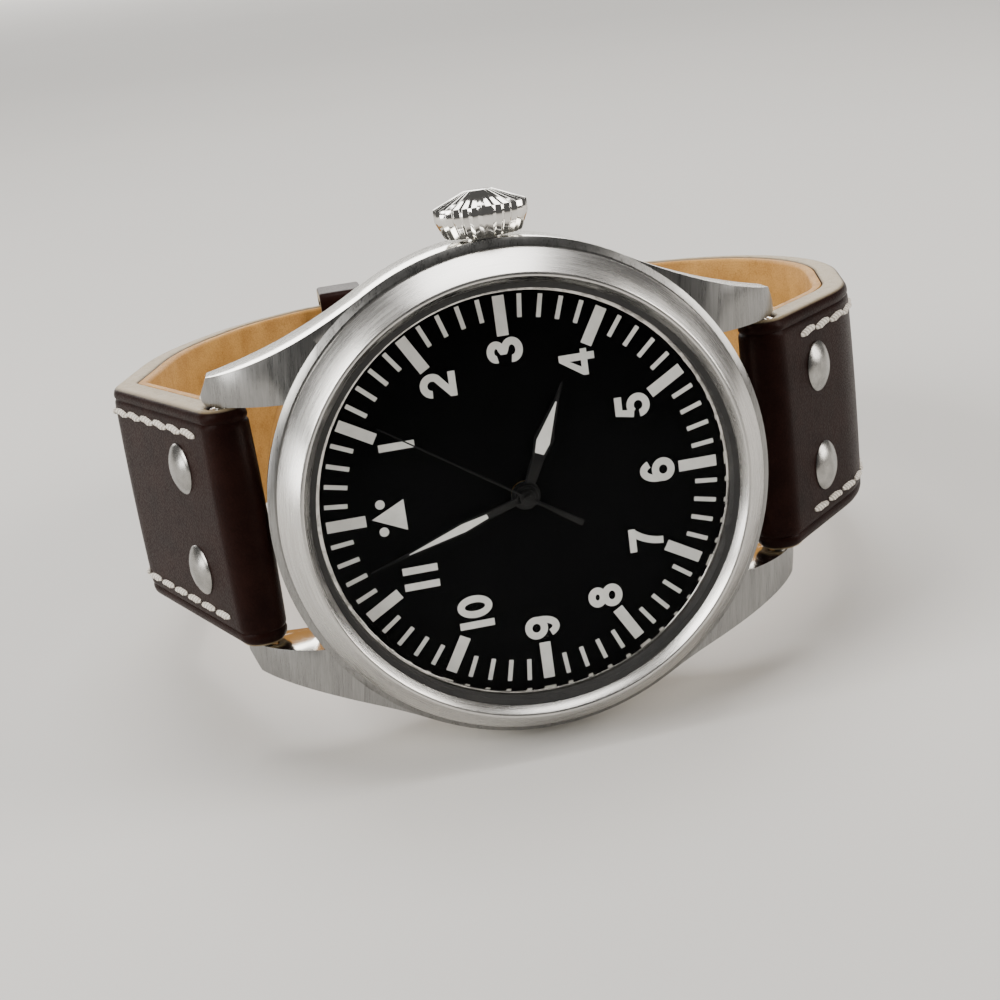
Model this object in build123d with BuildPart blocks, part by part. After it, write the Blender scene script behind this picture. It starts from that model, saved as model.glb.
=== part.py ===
from build123d import *
from math import asin, atan2, cos, degrees, hypot, radians, sin, sqrt, tan
import os

# Pilot watch on a buckled leather strap, lying on its nine o'clock flank with the crown up.
# All lengths are millimetres and all angles are degrees.
# Watch directions: v points to three o'clock, u to twelve o'clock, w out of the dial.
# The top face of the dial is w = 0. Heights below are w values along that direction.

# Running clearance of a pivot or shaft, play between loose pieces, and the overrun of a cut
run_gap = 0.03
play = 0.30
overrun = 0.50

# Case, lugs and case back
case_radius = 20.0
case_back_level = -6.3
case_top_level = 0.45
shoulder_level = 0.10
shoulder_width = 0.55
back_chamfer = 0.40
case_bore_radius = 16.45
back_bore_radius = 17.30
back_bore_level = -5.0
flange_seat_radius = 16.80
lug_gap = 20.0
lug_end_margin = 1.6
lug_tip_width = 2.3
lug_tip_setback = 0.9
lug_tip_round = 0.45
lug_tip_level = -6.6
lug_bottom_level = -7.2
lug_start = 14.0
lug_root = 8.0
lug_heel = 17.0
lug_sweep_angle = 29.6
case_back_radius = 18.6
case_back_rim_level = -7.10
case_back_level_outer = -7.6
case_back_step_radius = 16.2
case_back_plug_radius = 17.20
case_back_plug_level = -5.55
case_back_inner_radius = 15.4
case_back_inner_level = -6.45
case_back_notch_count = 6
case_back_notch_width = 3.0
case_back_notch_depth = 1.1

# Bezel, crystal, gasket and inner flange
bezel_seat_radius = 16.80
bezel_outer_radius = 19.3
bezel_outer_level = 1.07
ridge_inner_radius = 17.35
ridge_outer_radius = 17.60
ridge_level = 3.25
bezel_lip_level = 2.40
crystal_radius = 16.40
crystal_rim_level = 2.35
crystal_under_level = 1.30
crystal_dome = 0.80
flange_radius = 16.10

# Dial, its printing and the hands
dial_radius = 16.40
dial_thickness = 0.40
dial_bore_radius = 1.05
print_thickness = 0.03
tick_outer_radius = 15.71
minute_tick_inner = 13.91
hour_tick_inner = 12.62
minute_tick_width = 0.35
hour_tick_width = 0.90
numeral_height = 2.80
numeral_stroke = 0.58
triangle_apex = 12.15
triangle_base = 9.49
triangle_half_width = 1.25
dot_reach = 11.35
dot_offset = 1.11
dot_radius = 0.37
hour_hand_angle = 115.3
minute_hand_angle = 343.0
second_hand_angle = 34.5
hour_hand_level = 0.56
minute_hand_level = 0.95
second_hand_level = 1.36
hand_thickness = 0.14
second_hand_thickness = 0.09
second_hub_radius = 0.62

# Crown, stem and crown tube, on an axis that runs along v
crown_level = -3.0
crown_gap = 0.15
crown_base_radius = 3.0
crown_girdle_radius = 3.65
crown_lower_height = 1.40
crown_girdle_height = 0.90
crown_top_height = 1.10
crown_apex_radius = 1.1
crown_flutes = 30
crown_flute_depth = 0.30
tube_radius = 1.70
tube_bore_radius = 1.05
tube_inner_end = 16.9
tube_stand = 1.5
crown_bore_radius = 2.05
crown_bore_depth = 1.85
crown_gasket_offset = 0.5
crown_gasket_thickness = 0.6
stem_radius = 0.60
stem_square_radius = 0.45
stem_shoulder = 12.9
stem_inner_end = 6.2
stem_clear_radius = 0.90

# Movement: plate, bridges and the levels of the train
movement_radius = 12.8
plate_recess_level = -1.50
plate_recess_radius = 8.4
plate_under_level = -2.50
bridge_near_level = -4.15
bridge_far_level = -4.85
keyless_radius = 1.30
keyless_start = 5.4
winding_room_radius = 1.65
winding_room_start = 11.0
bridge_split = 1.0
bridge_split_gap = 0.10
pillar_radius = 0.95
screw_head_radius = 0.80
screw_head_height = 0.30
screw_shank_radius = 0.45
jewel_radius = 0.50
jewel_thickness = 0.30
pivot_radius = 0.10
arbor_radius = 0.16
wheel_thickness = 0.14
hub_radius = 0.75
spoke_width = 0.45
rim_width = 0.55

# Barrel, ratchet, crown wheel and click
barrel_teeth = 72
barrel_module = 0.125
barrel_drum_radius = 3.90
barrel_wall = 0.28
barrel_centre_radius = 8.0
barrel_tooth_level = -2.65
barrel_tooth_height = 0.28
barrel_drum_far_level = -3.58
barrel_arbor_radius = 0.80
mainspring_thickness = 0.10
mainspring_turns = 5
ratchet_teeth = 50
crown_wheel_teeth = 40
ratchet_module = 0.16
crown_wheel_centre = 8.2
click_pivot_reach = 4.75
click_pivot_direction = 112.0
click_tip_reach = 4.55
click_tip_direction = 88.0
click_half_width = 0.30
click_pivot_radius = 0.45

# Going train
great_pinion_teeth = 10
great_wheel_teeth = 75
great_module = 0.09
third_pinion_teeth = 10
third_wheel_teeth = 80
third_module = 0.085
second_pinion_teeth = 10
second_wheel_teeth = 84
second_module = 0.08
escape_pinion_teeth = 7
driving_wheel_teeth = 75
great_direction = 190.0
escape_direction = 225.0
great_wheel_level = -3.90
third_wheel_level = -3.50
second_wheel_level = -3.20
escape_wheel_level = -2.85
pinion_side_gap = 0.06

# Escapement and balance
escape_teeth = 15
escape_radius = 1.95
escape_root_radius = 1.45
pallet_distance = 2.75
pallet_direction = 260.0
pallet_arm_reach = 1.15
pallet_arm_angle = 52.0
pallet_arm_width = 0.34
pallet_fork_reach = 2.35
pallet_bridge_level = -3.12
pallet_bridge_height = 0.22
pallet_bridge_reach = 2.4
balance_distance = 3.1
balance_direction = 300.0
balance_radius = 4.2
balance_rim_width = 0.6
balance_level = -3.75
balance_thickness = 0.28
balance_clear_radius = 4.75
roller_radius = 0.42
hairspring_level = -4.02
hairspring_height = 0.14
hairspring_width = 0.05
hairspring_inner_radius = 0.45
hairspring_pitch = 0.36
hairspring_turns = 5
cock_direction = 185.0
cock_reach = 6.0
cock_half_width = 1.35
cock_level = -4.25

# Motion work under the dial
post_radius = 0.30
centre_tube_radius = 0.36
centre_tube_bore = 0.24
centre_tube_level = 0.10
cannon_radius = 0.56
cannon_teeth = 12
cannon_module = 0.1625
minute_wheel_teeth = 36
minute_pinion_teeth = 10
hour_wheel_teeth = 40
setting_wheel_teeth = 20
minute_wheel_direction = -40.0
setting_wheel_direction = 41.4
driving_wheel_level = -1.42
cannon_tooth_level = -1.24
minute_wheel_level = -1.18
hour_wheel_level = -0.74
motion_thickness = 0.14
hour_tube_radius = 0.80

# Spring bars
spring_bar_offset = 2.2
spring_bar_level = -5.2
spring_bar_radius = 0.90
spring_bar_half = 9.70
spring_bar_bore = 0.55
spring_bar_bore_start = 6.9
tip_radius = 0.42
tip_shoulder_radius = 0.52
tip_inner_end = 8.5
tip_shoulder_end = 9.75
tip_outer_end = 11.1
lug_hole_depth = 11.4

# Strap: roll around each bar, thickness, and the corners of its outer face as (reach past the bar, w)
strap_half_width = 9.85
short_strap_thicknesses = (3.4, 3.2, 2.9, 2.6, 2.4)
long_strap_thicknesses = (3.4, 3.2, 3.0, 2.8, 2.5, 2.3)
lining_thickness = 0.9
roll_radius = 2.1
roll_bore_gap = 0.05
lining_start = 3.4
short_strap_corners = ((10.4, -23.3), (7.6, -41.0), (0.1, -53.8), (-7.7, -59.6))
short_strap_radii = (4.0, 40.0, 24.0, 8.0)
long_strap_corners = ((11.6, -14.2), (17.1, -32.5), (13.0, -45.5), (7.8, -50.0), (-15.0, -63.0))
long_strap_radii = (16.0, 26.0, 18.0, 16.0, 6.0)
tail_end = 14.0
tail_point = 6.0
tail_point_half = 4.5
hole_count = 4
hole_radius = 1.0
hole_pitch = 6.5
tongue_hole_length = 3.8
tongue_hole_width = 2.8
rivet_radius = 2.15
rivet_height = 0.75
rivet_shank_radius = 0.8
rivet_offset = 4.4
short_rivet_reach = 6.0
long_rivet_reach = 5.9

# Buckle, its bar and tongue, and the two keepers
buckle_bar_reach = -3.0
buckle_bar_level = -58.4
buckle_bar_radius = 0.75
buckle_bar_tip_radius = 0.40
buckle_roll_radius = 2.0
buckle_inner_half = 10.2
buckle_leg_width = 1.8
buckle_thickness = 2.0
buckle_length = 13.6
buckle_angle = 5.7
buckle_round = 1.6
tongue_half_width = 1.1
tongue_thickness = 1.2
tongue_ring_radius = 1.55
keeper_thickness = 1.2
keeper_half_width = 10.2
keeper_outer_level = -63.35
fixed_keeper_near = 0.7
fixed_keeper_width = 4.5
free_keeper_near = 7.0
free_keeper_width = 5.0

# Keyless works on the stem, as (v) reaches and radii
winding_pinion_near = 11.2
winding_pinion_far = 12.4
winding_pinion_radius = 1.5
sliding_pinion_near = 8.6
sliding_pinion_far = 10.8
sliding_pinion_radius = 1.15
sliding_groove_near = 9.3
sliding_groove_far = 9.9
sliding_groove_radius = 0.75

# Smaller sizes of the movement
pallet_bridge_direction = 210.0
barrel_pivot_radius = 0.35
barrel_bridge_reach = 6.0
train_bridge_reach = 5.0
screw_end_level = -3.60
screw_slot_width = 0.25
minute_post_level = -0.56
setting_post_level = -0.95
click_pin_radius = 0.25
wheel_post_level = -5.18
stud_radius = 0.20
spiral_steps = 32
mainspring_inner_radius = 0.98
mainspring_pitch = 0.50
ratchet_near_level = -4.93
ratchet_far_level = -5.18
pivot_length = 0.20
third_top_level = -1.26
escape_lean = 9.0
escape_rim_width = 0.25
roller_far_level = -3.10
roller_near_level = -2.92

# Smaller sizes of the hands, as (distance, half width) along each hand
hour_hub_radius = 1.15
minute_hub_radius = 0.92
second_pin_radius = 0.25
second_pin_height = 0.12
hour_hand_steps = ((0.60, 0.40), (3.20, 0.50), (4.60, 0.78), (7.90, 0.17), (9.30, 0.05))
hour_fill_steps = ((3.47, 0.36), (4.45, 0.56), (7.75, 0.04))
minute_hand_steps = ((0.50, 0.28), (3.20, 0.32), (5.60, 0.50), (10.30, 0.13), (13.50, 0.04))
minute_fill_steps = ((3.43, 0.17), (5.50, 0.34), (10.20, 0.03))
second_hand_steps = ((-5.00, 0.24), (-4.40, 0.22), (0.0, 0.10), (6.00, 0.075), (13.00, 0.045))

# Smaller sizes of the strap and buckle
strap_cut = 4.0
tongue_hole_reach = -5.4
tongue_slot_half_width = 1.5
lining_end_low = -60.2
lining_end_high = -56.0
keeper_round = 0.35
fixed_keeper_level = -57.2
free_keeper_level = -57.0
buckle_bar_width = 2.1
buckle_heel = 1.1
buckle_hole_half = 11.5
buckle_bar_half = 10.0
buckle_bar_tip_half = 11.3
tongue_path = ((-4.1, -59.2), (-5.0, -60.4), (-6.2, -63.8), (-8.5, -64.6), (-17.2, -61.6))


def corner_centre(before, corner, after, radius):
    # Centre of the round of a corner between two straight runs
    first = degrees(atan2(before[1] - corner[1], before[0] - corner[0]))
    second = degrees(atan2(after[1] - corner[1], after[0] - corner[0]))
    spread = (second - first + 180) % 360 - 180
    middle = radians(first + spread / 2)
    distance = radius / abs(sin(radians(spread / 2)))
    return corner[0] + distance * cos(middle), corner[1] + distance * sin(middle)


# The spring bars, the lugs, the strap's corners and the crown follow the round wall of the case
spring_bar_reach = case_radius + spring_bar_offset
lug_reach = spring_bar_reach + lug_end_margin
short_strap_bends = tuple((spring_bar_reach + past, level) for past, level in short_strap_corners)
long_strap_bends = tuple((-spring_bar_reach - past, level) for past, level in long_strap_corners)
crown_base = case_radius + crown_gap
crown_girdle_near = crown_base + crown_lower_height
crown_girdle_far = crown_girdle_near + crown_girdle_height
crown_apex = crown_girdle_far + crown_top_height
crown_bore_end = crown_base + crown_bore_depth
tube_outer_end = case_radius + tube_stand
crown_gasket_near = case_radius + crown_gasket_offset
crown_gasket_far = crown_gasket_near + crown_gasket_thickness

# The watch leans back until its flank and its buckle both touch the surface
buckle_half_width = buckle_inner_half + buckle_leg_width
buckle_rear_level = (
    buckle_bar_level
    - buckle_length * sin(radians(buckle_angle))
    - buckle_thickness / 2
)
flank_level = case_back_level + back_chamfer
lean = atan2(case_radius - buckle_half_width, flank_level - buckle_rear_level)
out_of_dial = (0, -cos(lean), sin(lean))
to_three = (0, sin(lean), cos(lean))
to_twelve = (-1, 0, 0)

# The origin is under the middle of the whole watch, on the surface
short_extreme = corner_centre(
    (spring_bar_reach, spring_bar_level),
    short_strap_bends[0],
    short_strap_bends[1],
    short_strap_radii[0],
)
long_extreme = corner_centre(
    long_strap_bends[0], long_strap_bends[1], long_strap_bends[2], long_strap_radii[1]
)
widest_twelve = short_extreme[0] + short_strap_radii[0]
widest_six = long_extreme[0] - long_strap_radii[1]
keeper_rear_level = keeper_outer_level - keeper_thickness
keeper_outer_half = keeper_half_width + keeper_thickness
front_edge = -ridge_outer_radius * sin(lean) - ridge_level * cos(lean)
rear_edge = keeper_outer_half * sin(lean) - keeper_rear_level * cos(lean)
base = (
    (widest_twelve + widest_six) / 2,
    -(front_edge + rear_edge) / 2,
    case_radius * cos(lean) - flank_level * sin(lean),
)

# face looks at the dial (v, u), section cuts it through the crown (v, w), side looks along v (u, w)
face = Plane(origin=base, x_dir=to_three, z_dir=out_of_dial)
section = Plane(origin=base, x_dir=to_three, z_dir=(1, 0, 0))
side = Plane(origin=base, x_dir=to_twelve, z_dir=to_three)
dial_axis = Axis(base, out_of_dial)
crown_axis = Axis(face.from_local_coords(Vector(0, 0, crown_level)), to_three)


def polar(radius, angle):
    # Point on the dial side, with the angle measured from three towards twelve o'clock
    return radius * cos(radians(angle)), radius * sin(radians(angle))


def shifted(point, distance, angle):
    return point[0] + distance * cos(radians(angle)), point[1] + distance * sin(radians(angle))


def heading(start, end):
    return degrees(atan2(end[1] - start[1], end[0] - start[0]))


def disc(point, radius, near, far, bore=0):
    # A flat disc or a tube between two levels
    with BuildSketch(face.offset(min(near, far))) as outline:
        with Locations(point):
            Circle(radius)
            if bore:
                Circle(bore, mode=Mode.SUBTRACT)
    return extrude(outline.sketch, amount=abs(far - near), mode=Mode.PRIVATE)


def slab(points, near, far):
    # A flat piece with a straight-sided outline
    with BuildSketch(face.offset(min(near, far))) as outline:
        Polygon(*points, align=None)
    return extrude(outline.sketch, amount=abs(far - near), mode=Mode.PRIVATE)


# Shape of a gear tooth, as shares of the module and of the tooth pitch
addendum_share = 0.75
dedendum_share = 1.15
tip_share = 0.11
pitch_share = 0.19
root_share = 0.25


def gear(point, teeth, module, phase, near, far, bore=0):
    # Straight-flanked gear with one tooth centred on the direction phase
    pitch_radius = teeth * module / 2
    steps = (
        (pitch_radius - dedendum_share * module, -root_share),
        (pitch_radius, -pitch_share),
        (pitch_radius + addendum_share * module, -tip_share),
        (pitch_radius + addendum_share * module, tip_share),
        (pitch_radius, pitch_share),
        (pitch_radius - dedendum_share * module, root_share),
    )
    points = []
    for tooth in range(teeth):
        for radius, turn in steps:
            points.append(shifted(point, radius, phase + (tooth + turn) * 360 / teeth))
    with BuildSketch(face.offset(min(near, far))) as outline:
        Polygon(*points, align=None)
        if bore:
            with Locations(point):
                Circle(bore, mode=Mode.SUBTRACT)
    return extrude(outline.sketch, amount=abs(far - near), mode=Mode.PRIVATE)


def windows(point, inner, outer, near, far, spokes, turn=0):
    # Openings between the spokes of a wheel
    with BuildSketch(face.offset(min(near, far) - overrun)) as outline:
        with Locations(point):
            Circle(outer)
            Circle(inner, mode=Mode.SUBTRACT)
            for spoke in range(spokes):
                Rectangle(
                    2 * outer,
                    spoke_width,
                    rotation=turn + spoke * 180 / spokes,
                    mode=Mode.SUBTRACT,
                )
    return extrude(outline.sketch, amount=abs(far - near) + 2 * overrun, mode=Mode.PRIVATE)


def meshed(phase, teeth, direction, other_teeth):
    # Phase of a gear that takes the teeth of its neighbour, which lies opposite to direction
    return direction + 180 - (phase - direction) * teeth / other_teeth + 180 / other_teeth


# Centres and tooth phases of the movement
centre = (0, 0)
ratchet_radius = ratchet_teeth * ratchet_module / 2
crown_wheel_radius = crown_wheel_teeth * ratchet_module / 2
winding_distance = ratchet_radius + crown_wheel_radius
barrel_cosine = (crown_wheel_centre**2 + barrel_centre_radius**2 - winding_distance**2) / (
    2 * crown_wheel_centre * barrel_centre_radius
)
barrel_direction = degrees(atan2(sqrt(1 - barrel_cosine**2), barrel_cosine))
barrel_at = polar(barrel_centre_radius, barrel_direction)
crown_wheel_at = (crown_wheel_centre, 0)
great_distance = (barrel_teeth + great_pinion_teeth) * barrel_module / 2
great_at = shifted(barrel_at, great_distance, great_direction)
third_distance = (great_wheel_teeth + third_pinion_teeth) * great_module / 2
centre_distance = (third_wheel_teeth + second_pinion_teeth) * third_module / 2
great_reach = hypot(*great_at)
third_turn = degrees(
    atan2(
        sqrt(
            1
            - (
                (great_reach**2 + centre_distance**2 - third_distance**2)
                / (2 * great_reach * centre_distance)
            )
            ** 2
        ),
        (great_reach**2 + centre_distance**2 - third_distance**2)
        / (2 * great_reach * centre_distance),
    )
)
third_at = polar(centre_distance, heading(centre, great_at) + third_turn)
escape_distance = (second_wheel_teeth + escape_pinion_teeth) * second_module / 2
escape_at = polar(escape_distance, escape_direction)
pallet_at = shifted(escape_at, pallet_distance, pallet_direction)
balance_at = shifted(pallet_at, balance_distance, balance_direction)
minute_distance = (cannon_teeth + minute_wheel_teeth) * cannon_module / 2
minute_at = polar(minute_distance, minute_wheel_direction)
hour_module = 2 * minute_distance / (minute_pinion_teeth + hour_wheel_teeth)
setting_distance = (minute_wheel_teeth + setting_wheel_teeth) * cannon_module / 2
setting_at = shifted(minute_at, setting_distance, setting_wheel_direction)
driving_module = 2 * centre_distance / (driving_wheel_teeth + third_pinion_teeth)

barrel_phase = heading(barrel_at, great_at)
great_pinion_phase = meshed(barrel_phase, barrel_teeth, barrel_phase, great_pinion_teeth)
great_wheel_phase = heading(great_at, third_at)
third_pinion_phase = meshed(
    great_wheel_phase, great_wheel_teeth, great_wheel_phase, third_pinion_teeth
)
third_wheel_phase = heading(third_at, centre)
second_pinion_phase = meshed(
    third_wheel_phase, third_wheel_teeth, third_wheel_phase, second_pinion_teeth
)
second_wheel_phase = escape_direction
escape_pinion_phase = meshed(
    second_wheel_phase, second_wheel_teeth, second_wheel_phase, escape_pinion_teeth
)
driving_phase = meshed(
    third_pinion_phase, third_pinion_teeth, heading(third_at, centre), driving_wheel_teeth
)
cannon_phase = minute_wheel_direction
minute_wheel_phase = meshed(cannon_phase, cannon_teeth, cannon_phase, minute_wheel_teeth)
minute_pinion_phase = minute_wheel_direction + 180
hour_wheel_phase = meshed(
    minute_pinion_phase, minute_pinion_teeth, minute_pinion_phase, hour_wheel_teeth
)
setting_phase = meshed(
    minute_wheel_phase, minute_wheel_teeth, setting_wheel_direction, setting_wheel_teeth
)
crown_wheel_phase = heading(crown_wheel_at, barrel_at)
ratchet_phase = meshed(
    crown_wheel_phase, crown_wheel_teeth, crown_wheel_phase, ratchet_teeth
)


def place(across, along, out):
    # A point of the watch (v, u, w) in the row's own frame
    return face.from_local_coords(Vector(across, along, out))


# Case middle: four lugs, a turned ring, its bores and the holes for the bars and the tube
def lug_outline():
    # One lug between the strap gap and a hollow sweep that runs into the round case
    tip = (lug_gap / 2 + lug_tip_width, lug_reach - lug_tip_setback)
    tip_reach = hypot(*tip)
    spread = cos(radians(heading(centre, tip) - lug_sweep_angle))
    sweep_radius = (case_radius**2 + tip_reach**2 - 2 * case_radius * tip_reach * spread) / (
        2 * (tip_reach * spread - case_radius)
    )
    sweep_start = polar(case_radius, lug_sweep_angle)
    sweep_centre = polar(case_radius + sweep_radius, lug_sweep_angle)
    chord = ((sweep_start[0] + tip[0]) / 2, (sweep_start[1] + tip[1]) / 2)
    middle = shifted(sweep_centre, sweep_radius, heading(sweep_centre, chord))
    corner = (lug_gap / 2, lug_reach - lug_tip_round)
    top = (lug_gap / 2 + lug_tip_round, lug_reach)
    with BuildSketch(face.offset(lug_bottom_level - overrun)) as outline:
        with BuildLine():
            ThreePointArc(sweep_start, middle, tip)
            Polyline(tip, top, corner, (lug_gap / 2, lug_root), sweep_start)
        make_face()
        mirror(about=Plane.XZ)
        mirror(about=Plane.YZ)
    return outline.sketch


with BuildPart() as case_middle:
    extrude(lug_outline(), amount=case_top_level - lug_bottom_level + 2 * overrun)
    lug_run = lug_reach - lug_start
    lug_drop = shoulder_level - lug_tip_level
    lug_curve = (lug_run**2 + lug_drop**2) / (2 * lug_drop)
    half_turn = asin(lug_run / lug_curve) / 2
    lug_middle = (
        lug_start + lug_curve * sin(half_turn),
        shoulder_level - lug_curve * (1 - cos(half_turn)),
    )
    with BuildSketch(side):
        with BuildLine():
            ThreePointArc((lug_start, shoulder_level), lug_middle, (lug_reach, lug_tip_level))
            Polyline(
                (lug_reach, lug_tip_level),
                (lug_reach - lug_tip_setback, lug_bottom_level),
                (lug_heel, case_back_level),
                (0, case_back_level),
                (0, shoulder_level),
                (lug_start, shoulder_level),
            )
        make_face()
        mirror(about=Plane.YZ)
    extrude(amount=case_radius, both=True, mode=Mode.INTERSECT)
    with BuildSketch(section):
        Polygon(
            (0, case_back_level),
            (case_radius - back_chamfer, case_back_level),
            (case_radius, case_back_level + back_chamfer),
            (case_radius, shoulder_level),
            (case_radius - shoulder_width, case_top_level),
            (0, case_top_level),
            align=None,
        )
    revolve(axis=dial_axis)
    with BuildSketch(section):
        Polygon(
            (0, case_back_level - overrun),
            (back_bore_radius, case_back_level - overrun),
            (back_bore_radius, back_bore_level),
            (case_bore_radius, back_bore_level),
            (case_bore_radius, 0),
            (flange_seat_radius, 0),
            (flange_seat_radius, case_top_level + overrun),
            (0, case_top_level + overrun),
            align=None,
        )
    revolve(axis=dial_axis, mode=Mode.SUBTRACT)
    with BuildSketch(Plane(crown_axis.position, x_dir=to_twelve, z_dir=to_three)):
        Circle(tube_radius)
    extrude(amount=crown_base, mode=Mode.SUBTRACT)
    with BuildSketch(side.offset(-lug_hole_depth)):
        with Locations((spring_bar_reach, spring_bar_level), (-spring_bar_reach, spring_bar_level)):
            Circle(tip_radius + run_gap)
    extrude(amount=2 * lug_hole_depth, mode=Mode.SUBTRACT)

# Bezel: a brushed cone outside and a short bevel down to the crystal inside
with BuildPart() as bezel:
    with BuildSketch(section):
        Polygon(
            (bezel_seat_radius, case_top_level),
            (bezel_seat_radius, bezel_lip_level),
            (ridge_inner_radius, ridge_level),
            (ridge_outer_radius, ridge_level),
            (bezel_outer_radius, bezel_outer_level),
            (bezel_outer_radius, case_top_level),
            align=None,
        )
    revolve(axis=dial_axis)

# Crystal: a shallow dome of even thickness with an upright rim
with BuildPart() as crystal:
    with BuildSketch(section):
        with BuildLine():
            dome_radius = (crystal_radius**2 + crystal_dome**2) / (2 * crystal_dome)
            half_way = dome_radius * sin(asin(crystal_radius / dome_radius) / 2)
            half_rise = crystal_dome - dome_radius + sqrt(dome_radius**2 - half_way**2)
            crystal_top = crystal_rim_level + crystal_dome
            crystal_bottom = crystal_under_level + crystal_dome
            Line((0, crystal_bottom), (0, crystal_top))
            ThreePointArc(
                (0, crystal_top),
                (half_way, crystal_rim_level + half_rise),
                (crystal_radius, crystal_rim_level),
            )
            Line((crystal_radius, crystal_rim_level), (crystal_radius, crystal_under_level))
            ThreePointArc(
                (crystal_radius, crystal_under_level),
                (half_way, crystal_under_level + half_rise),
                (0, crystal_bottom),
            )
        make_face()
    revolve(axis=dial_axis)

with BuildPart() as crystal_gasket:
    add(disc(centre, bezel_seat_radius, crystal_under_level, crystal_rim_level, crystal_radius))

# Inner flange: the polished wall between the dial and the crystal
with BuildPart() as inner_flange:
    add(disc(centre, flange_seat_radius, 0, crystal_under_level, flange_radius))

# Dial plate
with BuildPart() as dial:
    add(disc(centre, dial_radius, -dial_thickness, 0, dial_bore_radius))

# Numerals as pieces in shares of their height: filled outlines, ovals, open bends and cut-outs.
# An oval or bend is its middle, its two radii along the pen's path and, for a bend, its two ends.
digit_shares = {
    "1": (("fill", (-0.104, -0.5), (0.104, -0.5), (0.104, 0.5), (-0.104, 0.5)),),
    "2": (
        ("bend", (0.011, 0.157), (0.234, 0.239), (-42, 176)),
        ("fill", (0.260, -0.068), (0.116, 0.082), (-0.345, -0.320), (-0.205, -0.460)),
        ("fill", (-0.345, -0.5), (0.345, -0.5), (0.345, -0.305), (-0.345, -0.305)),
    ),
    "3": (
        ("bend", (-0.018, 0.243), (0.200, 0.157), (-90, 188)),
        ("bend", (0.000, -0.200), (0.243, 0.200), (172, 450)),
        ("fill", (-0.105, -0.045), (0.010, -0.100), (0.010, 0.190), (-0.105, 0.130)),
    ),
    "4": (
        ("fill", (0.075, 0.5), (0.257, 0.5), (0.257, -0.118), (0.371, -0.118), (0.371, -0.296),
         (0.257, -0.296), (0.257, -0.5), (0.054, -0.5), (0.054, -0.296), (-0.371, -0.296),
         (-0.371, -0.150)),
        ("cut", (0.054, 0.205), (-0.135, -0.118), (0.054, -0.118)),
    ),
    "5": (
        ("bend", (0.000, -0.171), (0.239, 0.229), (-174, 138)),
        ("fill", (-0.236, 0.5), (0.296, 0.5), (0.296, 0.296), (-0.085, 0.296), (-0.110, 0.090),
         (-0.175, -0.035), (-0.330, -0.010)),
    ),
    "6": (
        ("bend", (0.007, 0.0), (0.239, 0.404), (36, 215)),
        ("oval", (0.000, -0.171), (0.239, 0.229)),
    ),
    "7": (
        ("fill", (-0.345, 0.5), (0.345, 0.5), (0.345, 0.300), (-0.345, 0.300)),
        ("sweep", (0.225, 0.360), (-0.010, -0.036), (-0.105, -0.5)),
    ),
    "8": (
        ("oval", (0.000, 0.232), (0.200, 0.168)),
        ("oval", (0.000, -0.196), (0.239, 0.204)),
    ),
    "9": (
        ("bend", (-0.007, 0.0), (0.239, 0.404), (216, 395)),
        ("oval", (0.000, 0.171), (0.239, 0.229)),
    ),
    "0": (("oval", (0.000, 0.0), (0.232, 0.400)),),
}


def scaled(shares):
    return shares[0] * numeral_height, shares[1] * numeral_height


def digit(name, spot):
    # One digit as a flat outline, with the pen's round strokes first and the cuts last
    half = numeral_stroke / 2
    with BuildSketch() as outline:
        for kind, *shares in digit_shares[name]:
            points = [scaled(share) for share in shares]
            if kind == "fill":
                Polygon(*points, align=None)
            elif kind == "cut":
                Polygon(*points, align=None, mode=Mode.SUBTRACT)
            elif kind == "oval":
                width, height = points[1]
                with Locations(points[0]):
                    Ellipse(width + half, height + half)
            elif kind == "bend":
                first, last = shares[2]
                path = EllipticalCenterArc(
                    points[0], *points[1], first, arc_size=last - first, mode=Mode.PRIVATE
                )
                trace(path, line_width=numeral_stroke)
            else:
                path = ThreePointArc(*points, mode=Mode.PRIVATE)
                trace(path, line_width=numeral_stroke)
        for kind, *shares in digit_shares[name]:
            if kind == "oval":
                width, height = scaled(shares[1])
                with Locations(scaled(shares[0])):
                    Ellipse(width - half, height - half, mode=Mode.SUBTRACT)
    return outline.sketch.moved(Location((spot[0], spot[1], 0)))


# Middle of every digit on the dial (v, u)
digit_places = (
    ("1", (5.49, 9.38)),
    ("2", (9.62, 5.50)),
    ("3", (11.47, 0.02)),
    ("4", (9.62, -5.45)),
    ("5", (5.52, -9.40)),
    ("6", (0.00, -10.85)),
    ("7", (-5.49, -9.31)),
    ("8", (-9.68, -5.43)),
    ("9", (-11.31, 0.03)),
    ("1", (-10.05, 5.20)),
    ("0", (-8.53, 5.20)),
    ("1", (-5.97, 9.06)),
    ("1", (-4.64, 9.06)),
)

# Printing on the dial: sixty marks, the numerals, and the triangle with its two dots
with BuildPart() as dial_print:
    with BuildSketch(face):
        for minute in range(60):
            long_mark = minute % 5 == 0
            inner = hour_tick_inner if long_mark else minute_tick_inner
            width = hour_tick_width if long_mark else minute_tick_width
            middle = (tick_outer_radius + inner) / 2
            with Locations(Location((*polar(middle, 6 * minute), 0), (0, 0, 6 * minute))):
                Rectangle(tick_outer_radius - inner, width)
        for name, spot in digit_places:
            add(digit(name, spot))
        Polygon(
            (0, triangle_apex),
            (-triangle_half_width, triangle_base),
            (triangle_half_width, triangle_base),
            align=None,
        )
        with Locations((dot_offset, dot_reach), (-dot_offset, dot_reach)):
            Circle(dot_radius)
    extrude(amount=print_thickness)

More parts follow.
